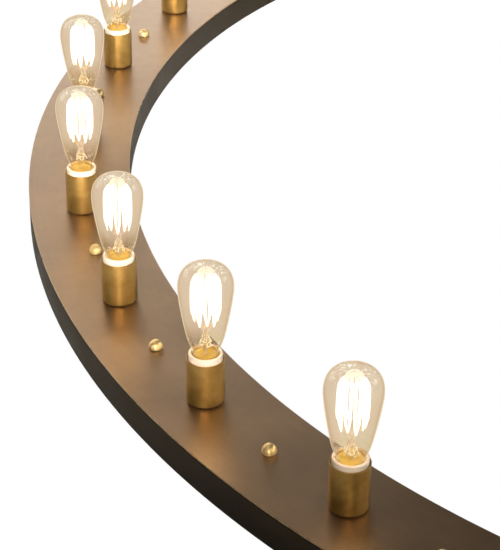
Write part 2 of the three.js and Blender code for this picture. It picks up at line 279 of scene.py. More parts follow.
def merged(*parts):
    """Several (verts, faces[, face material]) into one."""
    verts, faces, fm = [], [], []
    for part in parts:
        v, f = part[0], part[1]
        m = part[2] if len(part) > 2 else 0
        base = len(verts)
        verts.extend(v)
        faces.extend(tuple(i + base for i in q) for q in f)
        fm.extend([m] * len(f) if np.isscalar(m) else list(m))
    return verts, faces, fm


def flat_plate(name, outline, holes, z0, z1, bevel, mats):
    """A flat plate with holes and softly rounded edges, from closed outlines in millimetres."""
    cu = bpy.data.curves.new(name + "_outline", "CURVE")
    cu.dimensions = "2D"
    cu.fill_mode = "BOTH"
    for pts in [outline, *holes]:
        sp = cu.splines.new("POLY")
        sp.points.add(len(pts) - 1)
        sp.points.foreach_set(
            "co", np.array([(x * MM, y * MM, 0, 1) for x, y in pts], float).ravel()
        )
        sp.use_cyclic_u = True
    cu.extrude = ((z1 - z0) / 2 - bevel) * MM
    cu.bevel_depth = bevel * MM
    cu.bevel_resolution = 2
    cu.offset = -bevel * MM
    ob = bpy.data.objects.new(name + "_outline", cu)
    scene.collection.objects.link(ob)
    bpy.context.view_layer.update()
    dg = bpy.context.evaluated_depsgraph_get()
    me = bpy.data.meshes.new_from_object(ob.evaluated_get(dg))
    bpy.data.objects.remove(ob)
    bpy.data.curves.remove(cu)
    me.name = name
    me.transform(Matrix.Translation((0, 0, (z0 + z1) / 2 * MM)))
    me.materials.clear()
    for m in mats:
        me.materials.append(m)
    bm = bmesh.new()
    bm.from_mesh(me)
    bmesh.ops.remove_doubles(bm, verts=bm.verts, dist=2e-6)
    bmesh.ops.dissolve_degenerate(bm, edges=bm.edges, dist=1e-7)
    bmesh.ops.recalc_face_normals(bm, faces=bm.faces)
    bm.to_mesh(me)
    bm.free()
    # the flat faces keep their own normals, so no shading runs in from the holes
    me.set_sharp_from_angle(angle=math.radians(25))
    me.polygons.foreach_set("use_smooth", np.array([abs(p.normal.z) < 0.999 for p in me.polygons], bool))
    me.update()
    return me


def strip(k0, k1, half_w, steps):
    pts = []
    for i in range(steps + 1):
        p = point_at(k0 + (k1 - k0) * i / steps, half_w)
        pts.append((p.x, p.y))
    for i in range(steps, -1, -1):
        p = point_at(k0 + (k1 - k0) * i / steps, -half_w)
        pts.append((p.x, p.y))
    return pts


def ring_of(k, off, radius, n):
    c = point_at(k, off)
    return [
        (
            c.x + radius * math.cos(2 * math.pi * i / n),
            c.y + radius * math.sin(2 * math.pi * i / n),
        )
        for i in range(n)
    ]


def slot_of(k, off, length, radius, n=10):
    c, a, half = point_at(k, off), angle_at(k) + math.pi / 2, length / 2 - radius
    pts = []
    for side, start in ((1, -math.pi / 2), (-1, math.pi / 2)):
        for i in range(n + 1):
            b = a + start + math.pi * i / n
            pts.append(
                (
                    c.x + side * half * math.cos(a) + radius * math.cos(b),
                    c.y + side * half * math.sin(a) + radius * math.sin(b),
                )
            )
    return pts


# ---------------------------------------------------------------- materials
class Nodes:
    """Small helper that wires shader nodes."""

    def __init__(self, name):
        self.m = bpy.data.materials.new(name)
        self.m.use_nodes = True
        self.t = self.m.node_tree
        self.t.nodes.clear()

    def n(self, kind, props=None, **ins):
        node = self.t.nodes.new(kind)
        for key, val in (props or {}).items():
            setattr(node, key, val)
        for key, val in ins.items():
            self.put(node, key.replace("_", " "), val)
        return node

    def put(self, node, key, val):
        sock = node.inputs[int(key)] if str(key).isdigit() else node.inputs[key]
        if isinstance(val, bpy.types.NodeSocket):
            self.t.links.new(val, sock)
        elif isinstance(val, bpy.types.Node):
            self.t.links.new(val.outputs[0], sock)
        else:
            sock.default_value = val

    def math(self, op, a, b=None, c=None, clamp=False):
        node = self.n("ShaderNodeMath", {"operation": op, "use_clamp": clamp})
        for i, val in enumerate((a, b, c)):
            if val is not None:
                self.put(node, i, val)
        return node.outputs[0]

    def ramp(self, fac, stops, mode="LINEAR"):
        node = self.n("ShaderNodeValToRGB")
        self.put(node, "Fac", fac)
        cr = node.color_ramp
        cr.interpolation = mode
        while len(cr.elements) > 1:
            cr.elements.remove(cr.elements[-1])
        for i, (pos, col) in enumerate(stops):
            e = cr.elements[0] if i == 0 else cr.elements.new(pos)
            e.position = pos
            e.color = col if hasattr(col, "__len__") else (col, col, col, 1)
        return node.outputs["Color"]

    def mix(self, fac, a, b, mode="MIX"):
        node = self.n("ShaderNodeMix", {"data_type": "RGBA", "blend_type": mode})
        self.put(node, 0, fac)
        self.put(node, 6, a)
        self.put(node, 7, b)
        return node.outputs[2]

    def span(self, val, a0, a1, b0=0.0, b1=1.0, smooth=False):
        node = self.n("ShaderNodeMapRange")
        if smooth:
            node.interpolation_type = "SMOOTHSTEP"
        for i, v in enumerate((val, a0, a1, b0, b1)):
            self.put(node, i, v)
        return node.outputs[0]

    def coords(self):
        return self.n("ShaderNodeTexCoord").outputs["Object"]

    def xyz(self, vec):
        node = self.n("ShaderNodeSeparateXYZ")
        self.put(node, 0, vec)
        return node.outputs

    def vec(self, x, y, z):
        node = self.n("ShaderNodeCombineXYZ")
        for i, v in enumerate((x, y, z)):
            self.put(node, i, v)
        return node.outputs[0]

    def noise(self, vec, scale, detail=3.0, rough=0.5, distortion=0.0):
        node = self.n("ShaderNodeTexNoise")
        self.put(node, "Vector", vec)
        self.put(node, "Scale", scale)
        self.put(node, "Detail", detail)
        self.put(node, "Roughness", rough)
        self.put(node, "Distortion", distortion)
        return node.outputs[0]

    def bump(self, height, strength, distance, normal=None):
        node = self.n("ShaderNodeBump")
        self.put(node, "Height", height)
        self.put(node, "Strength", strength)
        self.put(node, "Distance", distance)
        if normal is not None:
            self.put(node, "Normal", normal)
        return node.outputs[0]

    def shift(self, vec):
        """Object coordinates moved by the object's own place, so that copies differ."""
        info = self.n("ShaderNodeObjectInfo")
        node = self.n("ShaderNodeVectorMath", {"operation": "ADD"})
        self.put(node, 0, vec)
        self.put(node, 1, info.outputs["Location"])
        return node.outputs[0]

    def principled(self, **ins):
        p = self.n("ShaderNodeBsdfPrincipled")
        for key, val in ins.items():
            self.put(p, key.replace("_", " "), val)
        out = self.n("ShaderNodeOutputMaterial")
        self.put(out, "Surface", p.outputs[0])
        return p

    def out(self, shader):
        out = self.n("ShaderNodeOutputMaterial")
        self.put(out, "Surface", shader)


def rgb(r, g, b):
    """An sRGB colour, 0 to 255, as linear RGBA."""

    def lin(c):
        c /= 255
        return c / 12.92 if c <= 0.04045 else ((c + 0.055) / 1.055) ** 2.4

    return (lin(r), lin(g), lin(b), 1.0)


def arc_coordinates(s):
    """Offset from the centre line and length along the arc, in metres."""
    x, y, z = s.xyz(s.coords())
    dy = s.math("SUBTRACT", y, CENTRE_Y * MM)
    rr = s.math("SQRT", s.math("ADD", s.math("MULTIPLY", x, x), s.math("MULTIPLY", dy, dy)))
    off = s.math("SUBTRACT", rr, R * MM)
    along = s.math("MULTIPLY", s.math("ARCTAN2", x, s.math("MULTIPLY", dy, -1.0)), R * MM)
    return off, along, z


def make_plate_material():
    s = Nodes("bronze_plate_satin")
    off, along, z = arc_coordinates(s)
    p = s.vec(off, along, z)
    # rolled grain along the bar, cloudy patina, and lighter edges that are light wear and a painted highlight along the
    # edge
    grain = s.noise(s.vec(s.math("MULTIPLY", off, 900.0), s.math("MULTIPLY", along, 9.0), z), 1.0, 4.0, 0.6)
    cloud = s.noise(p, 9.0, 5.0, 0.55, 0.4)
    mottle = s.noise(p, 46.0, 4.0, 0.6)
    base = s.ramp(cloud, [(0.25, rgb(134, 104, 74)), (0.5, rgb(146, 115, 82)), (0.75, rgb(159, 126, 92))])
    base = s.mix(s.span(mottle, 0.35, 0.7, 0.0, 0.22), base, rgb(114, 91, 67))
    base = s.mix(s.span(grain, 0.3, 0.7, 0.0, 0.16), base, rgb(188, 160, 125))
    # painted highlight: the lighter band along both edges also stands in for the bright line where the edge catches the
    # light
    edge = s.span(s.math("ABSOLUTE", off), (HALF_W - 0.75) * MM, (HALF_W - 0.25) * MM, smooth=True)
    wear = s.math("MULTIPLY", edge, s.span(s.noise(p, 130.0, 3.0), 0.3, 0.6, 0.35, 1.0))
    base = s.mix(s.math("MULTIPLY", wear, 0.75), base, rgb(222, 190, 150))
    rough = s.math("ADD", s.span(cloud, 0.3, 0.7, 0.33, 0.42), s.span(mottle, 0.3, 0.7, -0.02, 0.03))
    rough = s.math("SUBTRACT", rough, s.math("MULTIPLY", wear, 0.08))
    nrm = s.bump(grain, 0.10, 0.0002)
    nrm = s.bump(mottle, 0.05, 0.0006, nrm)
    s.principled(Base_Color=base, Metallic=0.86, Roughness=rough, Normal=nrm, Coat_Weight=0.55, Coat_Roughness=0.34)
    return s.m


def make_wall_material():
    s = Nodes("dark_wall_satin")
    off, along, z = arc_coordinates(s)
    p = s.vec(off, along, z)
    peel = s.noise(p, 700.0, 2.0, 0.5)
    cloud = s.noise(p, 12.0, 4.0, 0.55)
    scuff = s.noise(s.vec(s.math("MULTIPLY", off, 40.0), s.math("MULTIPLY", along, 7.0), s.math("MULTIPLY", z, 260.0)), 1.0, 5.0, 0.65)
    base = s.ramp(cloud, [(0.3, rgb(50, 41, 30)), (0.7, rgb(63, 52, 38))])
    base = s.mix(s.span(scuff, 0.58, 0.75, 0.0, 0.3), base, rgb(84, 72, 56))
    # lighter along the bottom 1.2 mm of the wall
    low = s.span(z, 0.0, 0.0012, 1.0, 0.0)
    base = s.mix(s.math("MULTIPLY", low, 0.5), base, rgb(110, 92, 72))
    rough = s.math("ADD", s.span(cloud, 0.3, 0.7, 0.38, 0.48), s.span(scuff, 0.5, 0.8, 0.0, 0.08))
    s.principled(Base_Color=base, Metallic=0.7, Roughness=rough, Normal=s.bump(peel, 0.08, 0.0002))
    return s.m


def make_brass(name, dark, mid, light, rough0, rough1, grain_z=1500.0, tarnish=0.35, metallic=1.0, lit=None):
    """Turned brass: fine rings round the axis and tarnish clouds."""
    s = Nodes(name)
    c = s.coords()
    x, y, z = s.xyz(c)
    where = s.shift(c)
    rings = s.noise(s.vec(s.math("MULTIPLY", x, 25.0), s.math("MULTIPLY", y, 25.0), s.math("MULTIPLY", z, grain_z)), 1.0, 3.0, 0.6)
    cloud = s.noise(where, 38.0, 4.0, 0.55, 0.5)
    spots = s.noise(where, 240.0, 3.0, 0.6)
    base = s.ramp(cloud, [(0.28, dark), (0.5, mid), (0.75, light)])
    base = s.mix(s.span(rings, 0.35, 0.65, 0.0, 0.2), base, light)
    base = s.mix(s.math("MULTIPLY", s.span(spots, 0.58, 0.72), tarnish), base, dark)
    rough = s.math("ADD", s.span(cloud, 0.3, 0.7, rough0, rough1), s.span(rings, 0.3, 0.7, -0.02, 0.03))
    nrm = s.bump(rings, 0.12, 0.00015)
    p = s.principled(Base_Color=base, Metallic=metallic, Roughness=rough, Normal=nrm)
    if lit is not None:
        # painted glow: emission standing in for the filament's light on brass a few millimetres under it
        s.put(p, "Emission Color", s.mix(s.span(cloud, 0.3, 0.7), lit[0], lit[1]))
        s.put(p, "Emission Strength", s.span(rings, 0.3, 0.7, lit[2] * 0.85, lit[2] * 1.15))
        s.m.cycles.emission_sampling = "NONE"
    return s.m


def make_porcelain():
    s = Nodes("glazed_porcelain")
    c = s.shift(s.coords())
    cloud = s.noise(c, 60.0, 3.0, 0.5)
    speck = s.noise(c, 900.0, 2.0, 0.5)
    base = s.ramp(cloud, [(0.3, rgb(222, 200, 182)), (0.7, rgb(234, 214, 198))])
    base = s.mix(s.span(speck, 0.70, 0.76, 0.0, 0.35), base, rgb(196, 180, 158))
    s.principled(
        Base_Color=base,
        Roughness=s.span(cloud, 0.3, 0.7, 0.16, 0.26),
        Coat_Weight=0.35,
        Coat_Roughness=0.06,
        Subsurface_Weight=0.0,
        Normal=s.bump(cloud, 0.05, 0.001),
    )
    return s.m


def make_glass():
    """Thin amber envelope: tinted, with the soft glow a lit bulb's glass takes on; clearer towards the neck."""
    s = Nodes("amber_bulb_glass")
    c = s.shift(s.coords())
    x, y, z = s.xyz(s.coords())
    streak = s.noise(s.vec(s.math("MULTIPLY", x, 30.0), s.math("MULTIPLY", y, 30.0), s.math("MULTIPLY", z, 9.0)), 1.0, 3.0, 0.5, 0.6)
    cloud = s.noise(c, 26.0, 3.0, 0.5, 0.8)
    speck = s.noise(c, 300.0, 2.0, 0.5)
    height = s.span(z, (TIP + 50) * MM, (TIP + 88) * MM, smooth=True)
    crown = s.span(z, (TIP + 112) * MM, (TIP + 140) * MM, smooth=True)
    tint = s.mix(height, rgb(214, 180, 132), rgb(223, 202, 172))
    tint = s.mix(crown, tint, rgb(225, 211, 188))
    tint = s.mix(s.span(streak, 0.35, 0.65, 0.0, 0.7), tint, rgb(226, 196, 172))
    tint = s.mix(s.span(cloud, 0.4, 0.65, 0.0, 0.5), tint, rgb(219, 208, 184))
    # fine curls of light caught where the glass bends, at the neck and the crown
    curl = s.noise(s.vec(x, y, s.math("MULTIPLY", z, 0.8)), 95.0, 2.0, 0.45, 1.4)
    line = s.span(s.math("ABSOLUTE", s.math("SUBTRACT", curl, 0.5)), 0.010, 0.026, 1.0, 0.0)
    bends = s.math("MAXIMUM", s.math("MULTIPLY", s.span(z, (TIP + 70) * MM, (TIP + 56) * MM, 0.0, 0.8), s.span(z, (TIP + 44) * MM, (TIP + 52) * MM)), s.span(z, (TIP + 133) * MM, (TIP + 141) * MM, 0.0, 0.9))
    line = s.math("MULTIPLY", s.math("MULTIPLY", line, bends), s.span(speck, 0.4, 0.55))
    tint = s.mix(line, tint, rgb(255, 248, 230))
    # the thick look of the wall at the outline: a browner band, then a thin painted highlight line
    rim = s.n("ShaderNodeLayerWeight", Blend=0.5)
    face = rim.outputs["Facing"]
    band = s.math("MULTIPLY", s.span(face, 0.54, 0.70, smooth=True), s.span(face, 0.74, 0.82, 1.0, 0.0))
    edge = s.span(face, 0.78, 0.88, smooth=True)
    # painted glow: face-on glass at the filament's height is made whiter
    lit = s.math("MULTIPLY", s.span(face, 0.02, 0.15, 1.0, 0.0, smooth=True), s.math("MULTIPLY", s.span(z, (TIP + 76) * MM, (TIP + 98) * MM, smooth=True), s.span(z, (TIP + 124) * MM, (TIP + 136) * MM, 1.0, 0.0, smooth=True)))
    tint = s.mix(s.math("MULTIPLY", lit, 0.8), tint, rgb(255, 246, 232))
    tint = s.mix(s.math("MULTIPLY", band, 0.55), tint, rgb(198, 166, 122))
    tint = s.mix(edge, tint, rgb(252, 236, 204))
    glow = s.n("ShaderNodeEmission", Color=tint, Strength=s.math("ADD", 1.0, s.math("MULTIPLY", line, 0.25)))
    pane = s.mix(s.span(streak, 0.3, 0.7), (0.98, 0.94, 0.86, 1), (0.95, 0.89, 0.78, 1))
    neck = s.span(z, (TIP + 40) * MM, (TIP + 70) * MM, 1.0, 0.0)
    clear = s.n("ShaderNodeBsdfTransparent", Color=s.mix(neck, pane, (0.95, 0.91, 0.80, 1)))
    body = s.n("ShaderNodeMixShader")
    amount = s.math("ADD", s.span(height, 0.0, 1.0, 0.05, 0.54), s.math("ADD", s.span(streak, 0.3, 0.7, -0.03, 0.04), s.math("MULTIPLY", line, 0.6)))
    s.put(body, 0, s.math("ADD", amount, s.math("ADD", s.math("MULTIPLY", lit, 0.12), s.math("ADD", s.math("MULTIPLY", edge, 0.5), s.math("MULTIPLY", band, 0.18))), clamp=True))
    s.put(body, 1, clear)
    s.put(body, 2, glow)
    gloss = s.n("ShaderNodeBsdfGlossy", Color=(1.0, 0.98, 0.93, 1), Roughness=s.span(cloud, 0.3, 0.7, 0.10, 0.16))
    fres = s.n("ShaderNodeFresnel", IOR=1.45)
    both = s.n("ShaderNodeMixShader")
    s.put(both, 0, s.math("MULTIPLY", fres.outputs[0], 0.16))
    s.put(both, 1, body.outputs[0])
    s.put(both, 2, gloss.outputs[0])
    s.put(gloss, "Normal", s.bump(streak, 0.04, 0.002))
    s.out(both.outputs[0])
    return s.m


def make_stem_glass():
    s = Nodes("stem_glass")
    c = s.shift(s.coords())
    cloud = s.noise(c, 180.0, 3.0, 0.6, 1.0)
    # painted glow: emission standing in for the filament's light caught in the stem glass
    glow = s.n("ShaderNodeEmission", Color=s.ramp(cloud, [(0.38, rgb(186, 134, 62)), (0.5, rgb(226, 180, 104)), (0.62, rgb(250, 228, 180))]), Strength=1.0)
    clear = s.n("ShaderNodeBsdfTransparent", Color=(0.95, 0.88, 0.76, 1))
    body = s.n("ShaderNodeMixShader")
    s.put(body, 0, s.span(cloud, 0.35, 0.6, 0.15, 0.6))
    s.put(body, 1, clear)
    s.put(body, 2, glow)
    gloss = s.n("ShaderNodeBsdfGlossy", Color=(1, 0.97, 0.9, 1), Roughness=0.08)
    s.put(gloss, "Normal", s.bump(cloud, 0.4, 0.001))
    both = s.n("ShaderNodeMixShader")
    s.put(both, 0, s.n("ShaderNodeFresnel", IOR=1.5).outputs[0])
    s.put(both, 1, body.outputs[0])
    s.put(both, 2, gloss.outputs[0])
    s.out(both.outputs[0])
    return s.m


def make_filament():
    s = Nodes("glowing_filament")
    x, y, z = s.xyz(s.coords())
    coil = s.n("ShaderNodeTexWave", {"wave_type": "BANDS", "bands_direction": "Z"}, Scale=420.0, Distortion=0.4)
    s.put(coil, "Vector", s.coords())
    hot = s.span(z, (TIP + 67) * MM, (TIP + 80) * MM, 0.75, 1.0)
    strength = s.math("MULTIPLY", s.span(coil.outputs[1], 0.0, 1.0, 7.0, 11.0), hot)
    col = s.mix(s.span(z, (TIP + 66) * MM, (TIP + 84) * MM), (1.0, 0.92, 0.78, 1), (1.0, 0.98, 0.95, 1))
    em = s.n("ShaderNodeEmission", Color=col, Strength=strength)
    s.out(em.outputs[0])
    s.m.cycles.emission_sampling = "NONE"
    return s.m


def make_support_wire():
    s = Nodes("support_wire")
    c = s.coords()
    n = s.noise(c, 500.0, 3.0, 0.6)
    z = s.xyz(c)[2]
    col = s.ramp(n, [(0.3, rgb(150, 92, 36)), (0.7, rgb(206, 148, 84))])
    p = s.principled(Base_Color=col, Metallic=0.85, Roughness=s.span(n, 0.3, 0.7, 0.3, 0.45), Normal=s.bump(n, 0.2, 0.0003))
    # painted glow: emission standing in for the filament's light on the support wires
    s.put(p, "Emission Color", s.mix(s.span(n, 0.42, 0.6), rgb(188, 122, 48), rgb(250, 216, 160)))
    s.put(p, "Emission Strength", s.span(n, 0.42, 0.6, 0.35, 1.2))
    s.m.cycles.emission_sampling = "NONE"
    return s.m


def make_crown():
    """Support arms over the shoulder, lit through by the filament they carry."""
    s = Nodes("lit_crown_wire")
    c = s.coords()
    n = s.noise(c, 420.0, 3.0, 0.6)
    z = s.xyz(c)[2]
    col = s.mix(s.span(n, 0.3, 0.7), (1.0, 0.86, 0.66, 1), (1.0, 0.94, 0.84, 1))
    fade = s.span(z, (TIP + 130) * MM, (TIP + 140) * MM, 6.0, 4.0)
    em = s.n("ShaderNodeEmission", Color=col, Strength=s.math("MULTIPLY", fade, s.span(n, 0.3, 0.7, 0.8, 1.15)))
    s.out(em.outputs[0])
    s.m.cycles.emission_sampling = "NONE"
    return s.m


def make_lit_curl():
    """Bright folds of glass and wire round the stem, given a painted glow for the filament's light caught on them."""
    s = Nodes("lit_curl")
    c = s.shift(s.coords())
    n = s.noise(c, 500.0, 2.0, 0.5)
    em = s.n("ShaderNodeEmission", Color=s.mix(s.span(n, 0.35, 0.65), rgb(255, 226, 168), rgb(255, 250, 232)), Strength=s.span(n, 0.3, 0.7, 1.1, 2.0))
    s.out(em.outputs[0])
    s.m.cycles.emission_sampling = "NONE"
    return s.m


def make_plain(name, c0, c1, rough0, rough1, metallic=0.0, scale=300.0, bump=0.1, wear=None):
    s = Nodes(name)
    c = s.coords()
    n = s.noise(c, scale, 4.0, 0.6)
    big = s.noise(c, scale * 0.08, 3.0, 0.5)
    base = s.ramp(s.math("ADD", s.math("MULTIPLY", n, 0.5), s.math("MULTIPLY", big, 0.5)), [(0.35, c0), (0.65, c1)])
    if wear is not None:
        base = s.mix(s.span(n, 0.6, 0.75, 0.0, 0.5), base, wear)
    s.principled(Base_Color=base, Metallic=metallic, Roughness=s.span(big, 0.3, 0.7, rough0, rough1), Normal=s.bump(n, bump, 0.0003))
    return s.m


def make_steel():
    """Zinc-plated steel with a faint spangle."""
    s = Nodes("zinc_steel")
    c = s.coords()
    v = s.n("ShaderNodeTexVoronoi", {"feature": "F1"}, Scale=160.0)
    s.put(v, "Vector", c)
    n = s.noise(c, 22.0, 4.0, 0.6)
    fine = s.noise(c, 900.0, 2.0, 0.5)
    base = s.mix(0.35, s.ramp(n, [(0.3, rgb(150, 152, 150)), (0.7, rgb(190, 191, 188))]), v.outputs["Color"], "SOFT_LIGHT")
    base = s.mix(s.span(s.noise(c, 55.0, 5.0, 0.65), 0.62, 0.78, 0.0, 0.5), base, rgb(206, 196, 160))
    rough = s.math("ADD", s.span(n, 0.3, 0.7, 0.32, 0.46), s.span(v.outputs["Distance"], 0.0, 0.006, -0.03, 0.05))
    s.principled(Base_Color=base, Metallic=0.95, Roughness=rough, Normal=s.bump(fine, 0.08, 0.0002))
    return s.m


def make_sleeve():
    """Black glass-fibre sleeving: a fine crossed braid."""
    s = Nodes("braided_sleeve")
    off, along, z = arc_coordinates(s)
    turn = s.math("ARCTAN2", s.math("SUBTRACT", z, TRUNK_Z * MM), s.math("SUBTRACT", off, TRUNK_OFF * MM))
    a = s.math("SINE", s.math("ADD", s.math("MULTIPLY", turn, 8.0), s.math("MULTIPLY", along, 2600.0)))
    b = s.math("SINE", s.math("SUBTRACT", s.math("MULTIPLY", turn, 8.0), s.math("MULTIPLY", along, 2600.0)))
    weave = s.math("MAXIMUM", a, b)
    base = s.ramp(s.span(weave, -0.4, 1.0), [(0.0, rgb(12, 12, 13)), (0.6, rgb(34, 34, 36)), (1.0, rgb(58, 58, 60))])
    s.principled(Base_Color=base, Roughness=s.span(weave, 0.0, 1.0, 0.75, 0.55), Normal=s.bump(weave, 0.5, 0.0004))
    return s.m


M_PLATE = make_plate_material()
M_WALL = make_wall_material()
M_CUP = make_brass("antique_brass", rgb(160, 126, 66), rgb(184, 146, 80), rgb(206, 166, 98), 0.36, 0.44, metallic=0.86)
M_NUT = make_brass("nut_brass", rgb(236, 196, 128), rgb(250, 214, 146), rgb(255, 230, 172), 0.30, 0.37, 1200.0, 0.2, metallic=0.6)
M_SHELL = make_brass("shell_brass", rgb(222, 158, 48), rgb(240, 184, 66), rgb(252, 208, 104), 0.25, 0.34, 900.0, 0.2)
M_GOLD = make_brass("lit_gold", rgb(196, 162, 58), rgb(216, 182, 76), rgb(232, 204, 112), 0.42, 0.52, 700.0, 0.15, 0.7, (rgb(206, 160, 40), rgb(232, 192, 84), 0.08))
M_PORCELAIN = make_porcelain()
M_GLASS = make_glass()
M_STEM = make_stem_glass()
M_FILAMENT = make_filament()
M_SUPPORT = make_support_wire()
M_CROWN = make_crown()
M_CURL = make_lit_curl()
M_STEEL = make_steel()
M_BLACK = make_plain("black_insulator", rgb(16, 15, 15), rgb(34, 32, 31), 0.25, 0.4)
M_SOLDER = make_plain("solder", rgb(150, 150, 150), rgb(200, 200, 198), 0.3, 0.5, 1.0, 500.0, 0.4)
M_SLEEVE = make_sleeve()
M_WIRE_BLACK = make_plain("black_wire", rgb(18, 18, 20), rgb(36, 36, 38), 0.4, 0.55, 0.0, 400.0, 0.05)
M_WIRE_WHITE = make_plain("white_wire", rgb(206, 204, 196), rgb(226, 224, 218), 0.4, 0.55, 0.0, 400.0, 0.05)
M_TIE = make_plain("cable_tie", rgb(196, 194, 186), rgb(222, 220, 212), 0.45, 0.6, 0.0, 300.0, 0.1)
M_RED = make_plain("connector_red", rgb(148, 36, 28), rgb(186, 56, 44), 0.42, 0.55, 0.0, 260.0, 0.12)
M_GREY = make_plain("connector_grey", rgb(158, 158, 152), rgb(190, 190, 184), 0.42, 0.55, 0.0, 260.0, 0.12)
M_NYLON = make_plain("black_nylon", rgb(20, 20, 20), rgb(40, 39, 38), 0.45, 0.6, 0.0, 350.0, 0.15)
M_GREEN = make_plain("green_screw", rgb(34, 104, 52), rgb(56, 140, 70), 0.35, 0.5, 0.5, 300.0, 0.12, rgb(150, 160, 140))

# ---------------------------------------------------------------- face plate
holes = [ring_of(k, 0, NIPPLE_HOLE_R, 32) for k in range(STATIONS)]
holes += [ring_of(k, 0, STUD_HOLE_R, 24) for k in NUT_PLACES]
plate = flat_plate("face_plate_sheet", strip(FIRST, LAST, HALF_W, 256), holes, UNDER, TOP, 0.4, [M_PLATE])
place("face_plate_sheet", plate, "bar", ["face_plate"])

# ---------------------------------------------------------------- side walls
cap_k = (WALL_T + 2 * GAP) / R_IN / math.radians(1) / PITCH_DEG
K0, K1 = FIRST + cap_k, LAST - cap_k
bend = 2.2
outer = rounded(
    [
        (HALF_W, 0, 0.3),
        (HALF_W, WALL_TOP, bend),
        (HALF_W - LIP_W, WALL_TOP, 0.3),
        (HALF_W - LIP_W, WALL_TOP - WALL_T, 0.3),
        (HALF_W - WALL_T, WALL_TOP - WALL_T, bend - WALL_T),
        (HALF_W - WALL_T, 0, 0.3),
    ],
    4,
)
inner = [(-o, z) for o, z in outer]
v, f = swept(outer, K0, K1, 220)
place("outer_wall_band", build_mesh("outer_wall_band", v, f, [M_WALL]), "bar", ["outer_side_wall"])
v, f = swept(inner, K0, K1, 220)
place("inner_wall_band", build_mesh("inner_wall_band", v, f, [M_WALL]), "bar", ["inner_side_wall"])

# ---------------------------------------------------------------- end caps
for name, node in (("end_plate_right", "end_cap_right"), ("end_plate_left", "end_cap_left")):
    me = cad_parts[node].data.copy()
    me.name = name
    me.materials.clear()
    me.materials.append(M_WALL)
    bm = bmesh.new()
    bm.from_mesh(me)
    bmesh.ops.remove_doubles(bm, verts=bm.verts, dist=1e-6)
    bmesh.ops.dissolve_limit(bm, angle_limit=math.radians(2), verts=bm.verts, edges=bm.edges)
    sharp_edges = [e for e in bm.edges if len(e.link_faces) == 2 and e.calc_face_angle() > 0.6]
    bmesh.ops.bevel(bm, geom=sharp_edges, offset=0.0004, segments=3, affect="EDGES", profile=0.5)
    bmesh.ops.recalc_face_normals(bm, faces=bm.faces)
    bm.to_mesh(me)
    bm.free()
    me.polygons.foreach_set("use_smooth", np.ones(len(me.polygons), bool))
    me.set_sharp_from_angle(angle=math.radians(30))
    place(name, me, "bar", [node])

# ---------------------------------------------------------------- rail, studs
rail_holes = [ring_of(INLET_AT, 0, INLET_R, 40), ring_of(GROUND_AT, -8, 2.2, 20)]
rail_holes += [slot_of(k, 0, SLOT_L, SLOT_R) for k in SLOT_AT]
rail = flat_plate(
    "rail_strip",
    strip(-RAIL_END_DEG / PITCH_DEG, STATIONS - 1 + RAIL_END_DEG / PITCH_DEG, RAIL_HALF_W, 200),
    rail_holes,
    0,
    RAIL_T,
    0.35,
    [M_STEEL],
)
place("rail_strip", rail, "bar", ["mounting_rail"])


def stud_profile():
    prof = [(0, 1.0), (4.2, 1.0), (4.2, RAIL_T + 0.2), (3.3, RAIL_T + 0.9), (STUD_R * 0.9, RAIL_T + 1.1), (STUD_R * 0.9, 12.0)]
    z = 12.0
    while z < STUD_TOP - 1.4:
        prof += [(STUD_R, z + 0.25), (STUD_R, z + 0.4), (STUD_R * 0.84, z + 0.7), (STUD_R * 0.84, z + 0.8)]
        z += 0.95
    prof += [(STUD_R * 0.84, STUD_TOP - 0.9), (STUD_R * 0.6, STUD_TOP), (0, STUD_TOP)]
    return prof


v, f, _ = lathe(stud_profile(), 18, closed=False)
stud_mesh = build_mesh("threaded_stud", v, f, [M_STEEL], sharp=40)
for i, k in enumerate(NUT_PLACES):
    place(f"threaded_stud_{i + 1}", stud_mesh, "bar", at=point_at(k))

# ---------------------------------------------------------------- cap nuts
ball_c, ball_r = TOP + NUT_BALL_Z, NUT_BALL_R
prof = [(STUD_R + 0.4, TOP + 0.3), (NUT_BALL_R * 0.92, TOP + 0.3), (NUT_BALL_R * 0.955, TOP + 0.6)]
for i in range(19):
    a = math.radians(-9 + 99 * i / 18)
    prof.append((max(0.0, ball_r * math.cos(a)), ball_c + ball_r * math.sin(a)))
prof[-1] = (0.0, prof[-1][1])
prof += [(0.0, STUD_TOP + 0.5), (STUD_R + 0.4, STUD_TOP + 0.4)]
v, f, _ = lathe(prof, 64, closed=True)
nut_mesh = build_mesh("cap_nut", v, f, [M_NUT], sharp=35)
for i, k in enumerate(NUT_PLACES):
    place(f"domed_nut_{i + 1}", nut_mesh, "bar", [f"cap_nut_{i + 1}"], at=point_at(k))

# ---------------------------------------------------------------- socket cups
prof = rounded(
    [
        (NIPPLE_HOLE_R, TOP + GAP, 0.2),
        (CUP_R, TOP + GAP, 3.6),
        (CUP_R, RIM, 0.35),
        (CUP_R - CUP_T, RIM, 0.35),
        (CUP_R - CUP_T, TOP + GAP + CUP_T, 2.6),
        (NIPPLE_HOLE_R, TOP + GAP + CUP_T, 0.2),
    ],
    6,
)
v, f, _ = lathe(prof, 112, closed=True)
cup_mesh = build_mesh("socket_cup", v, f, [M_CUP], sharp=35)
for k in range(STATIONS):
    place(f"brass_cup_{k + 1}", cup_mesh, "bar", [f"socket_cup_{k + 1}"], at=point_at(k))

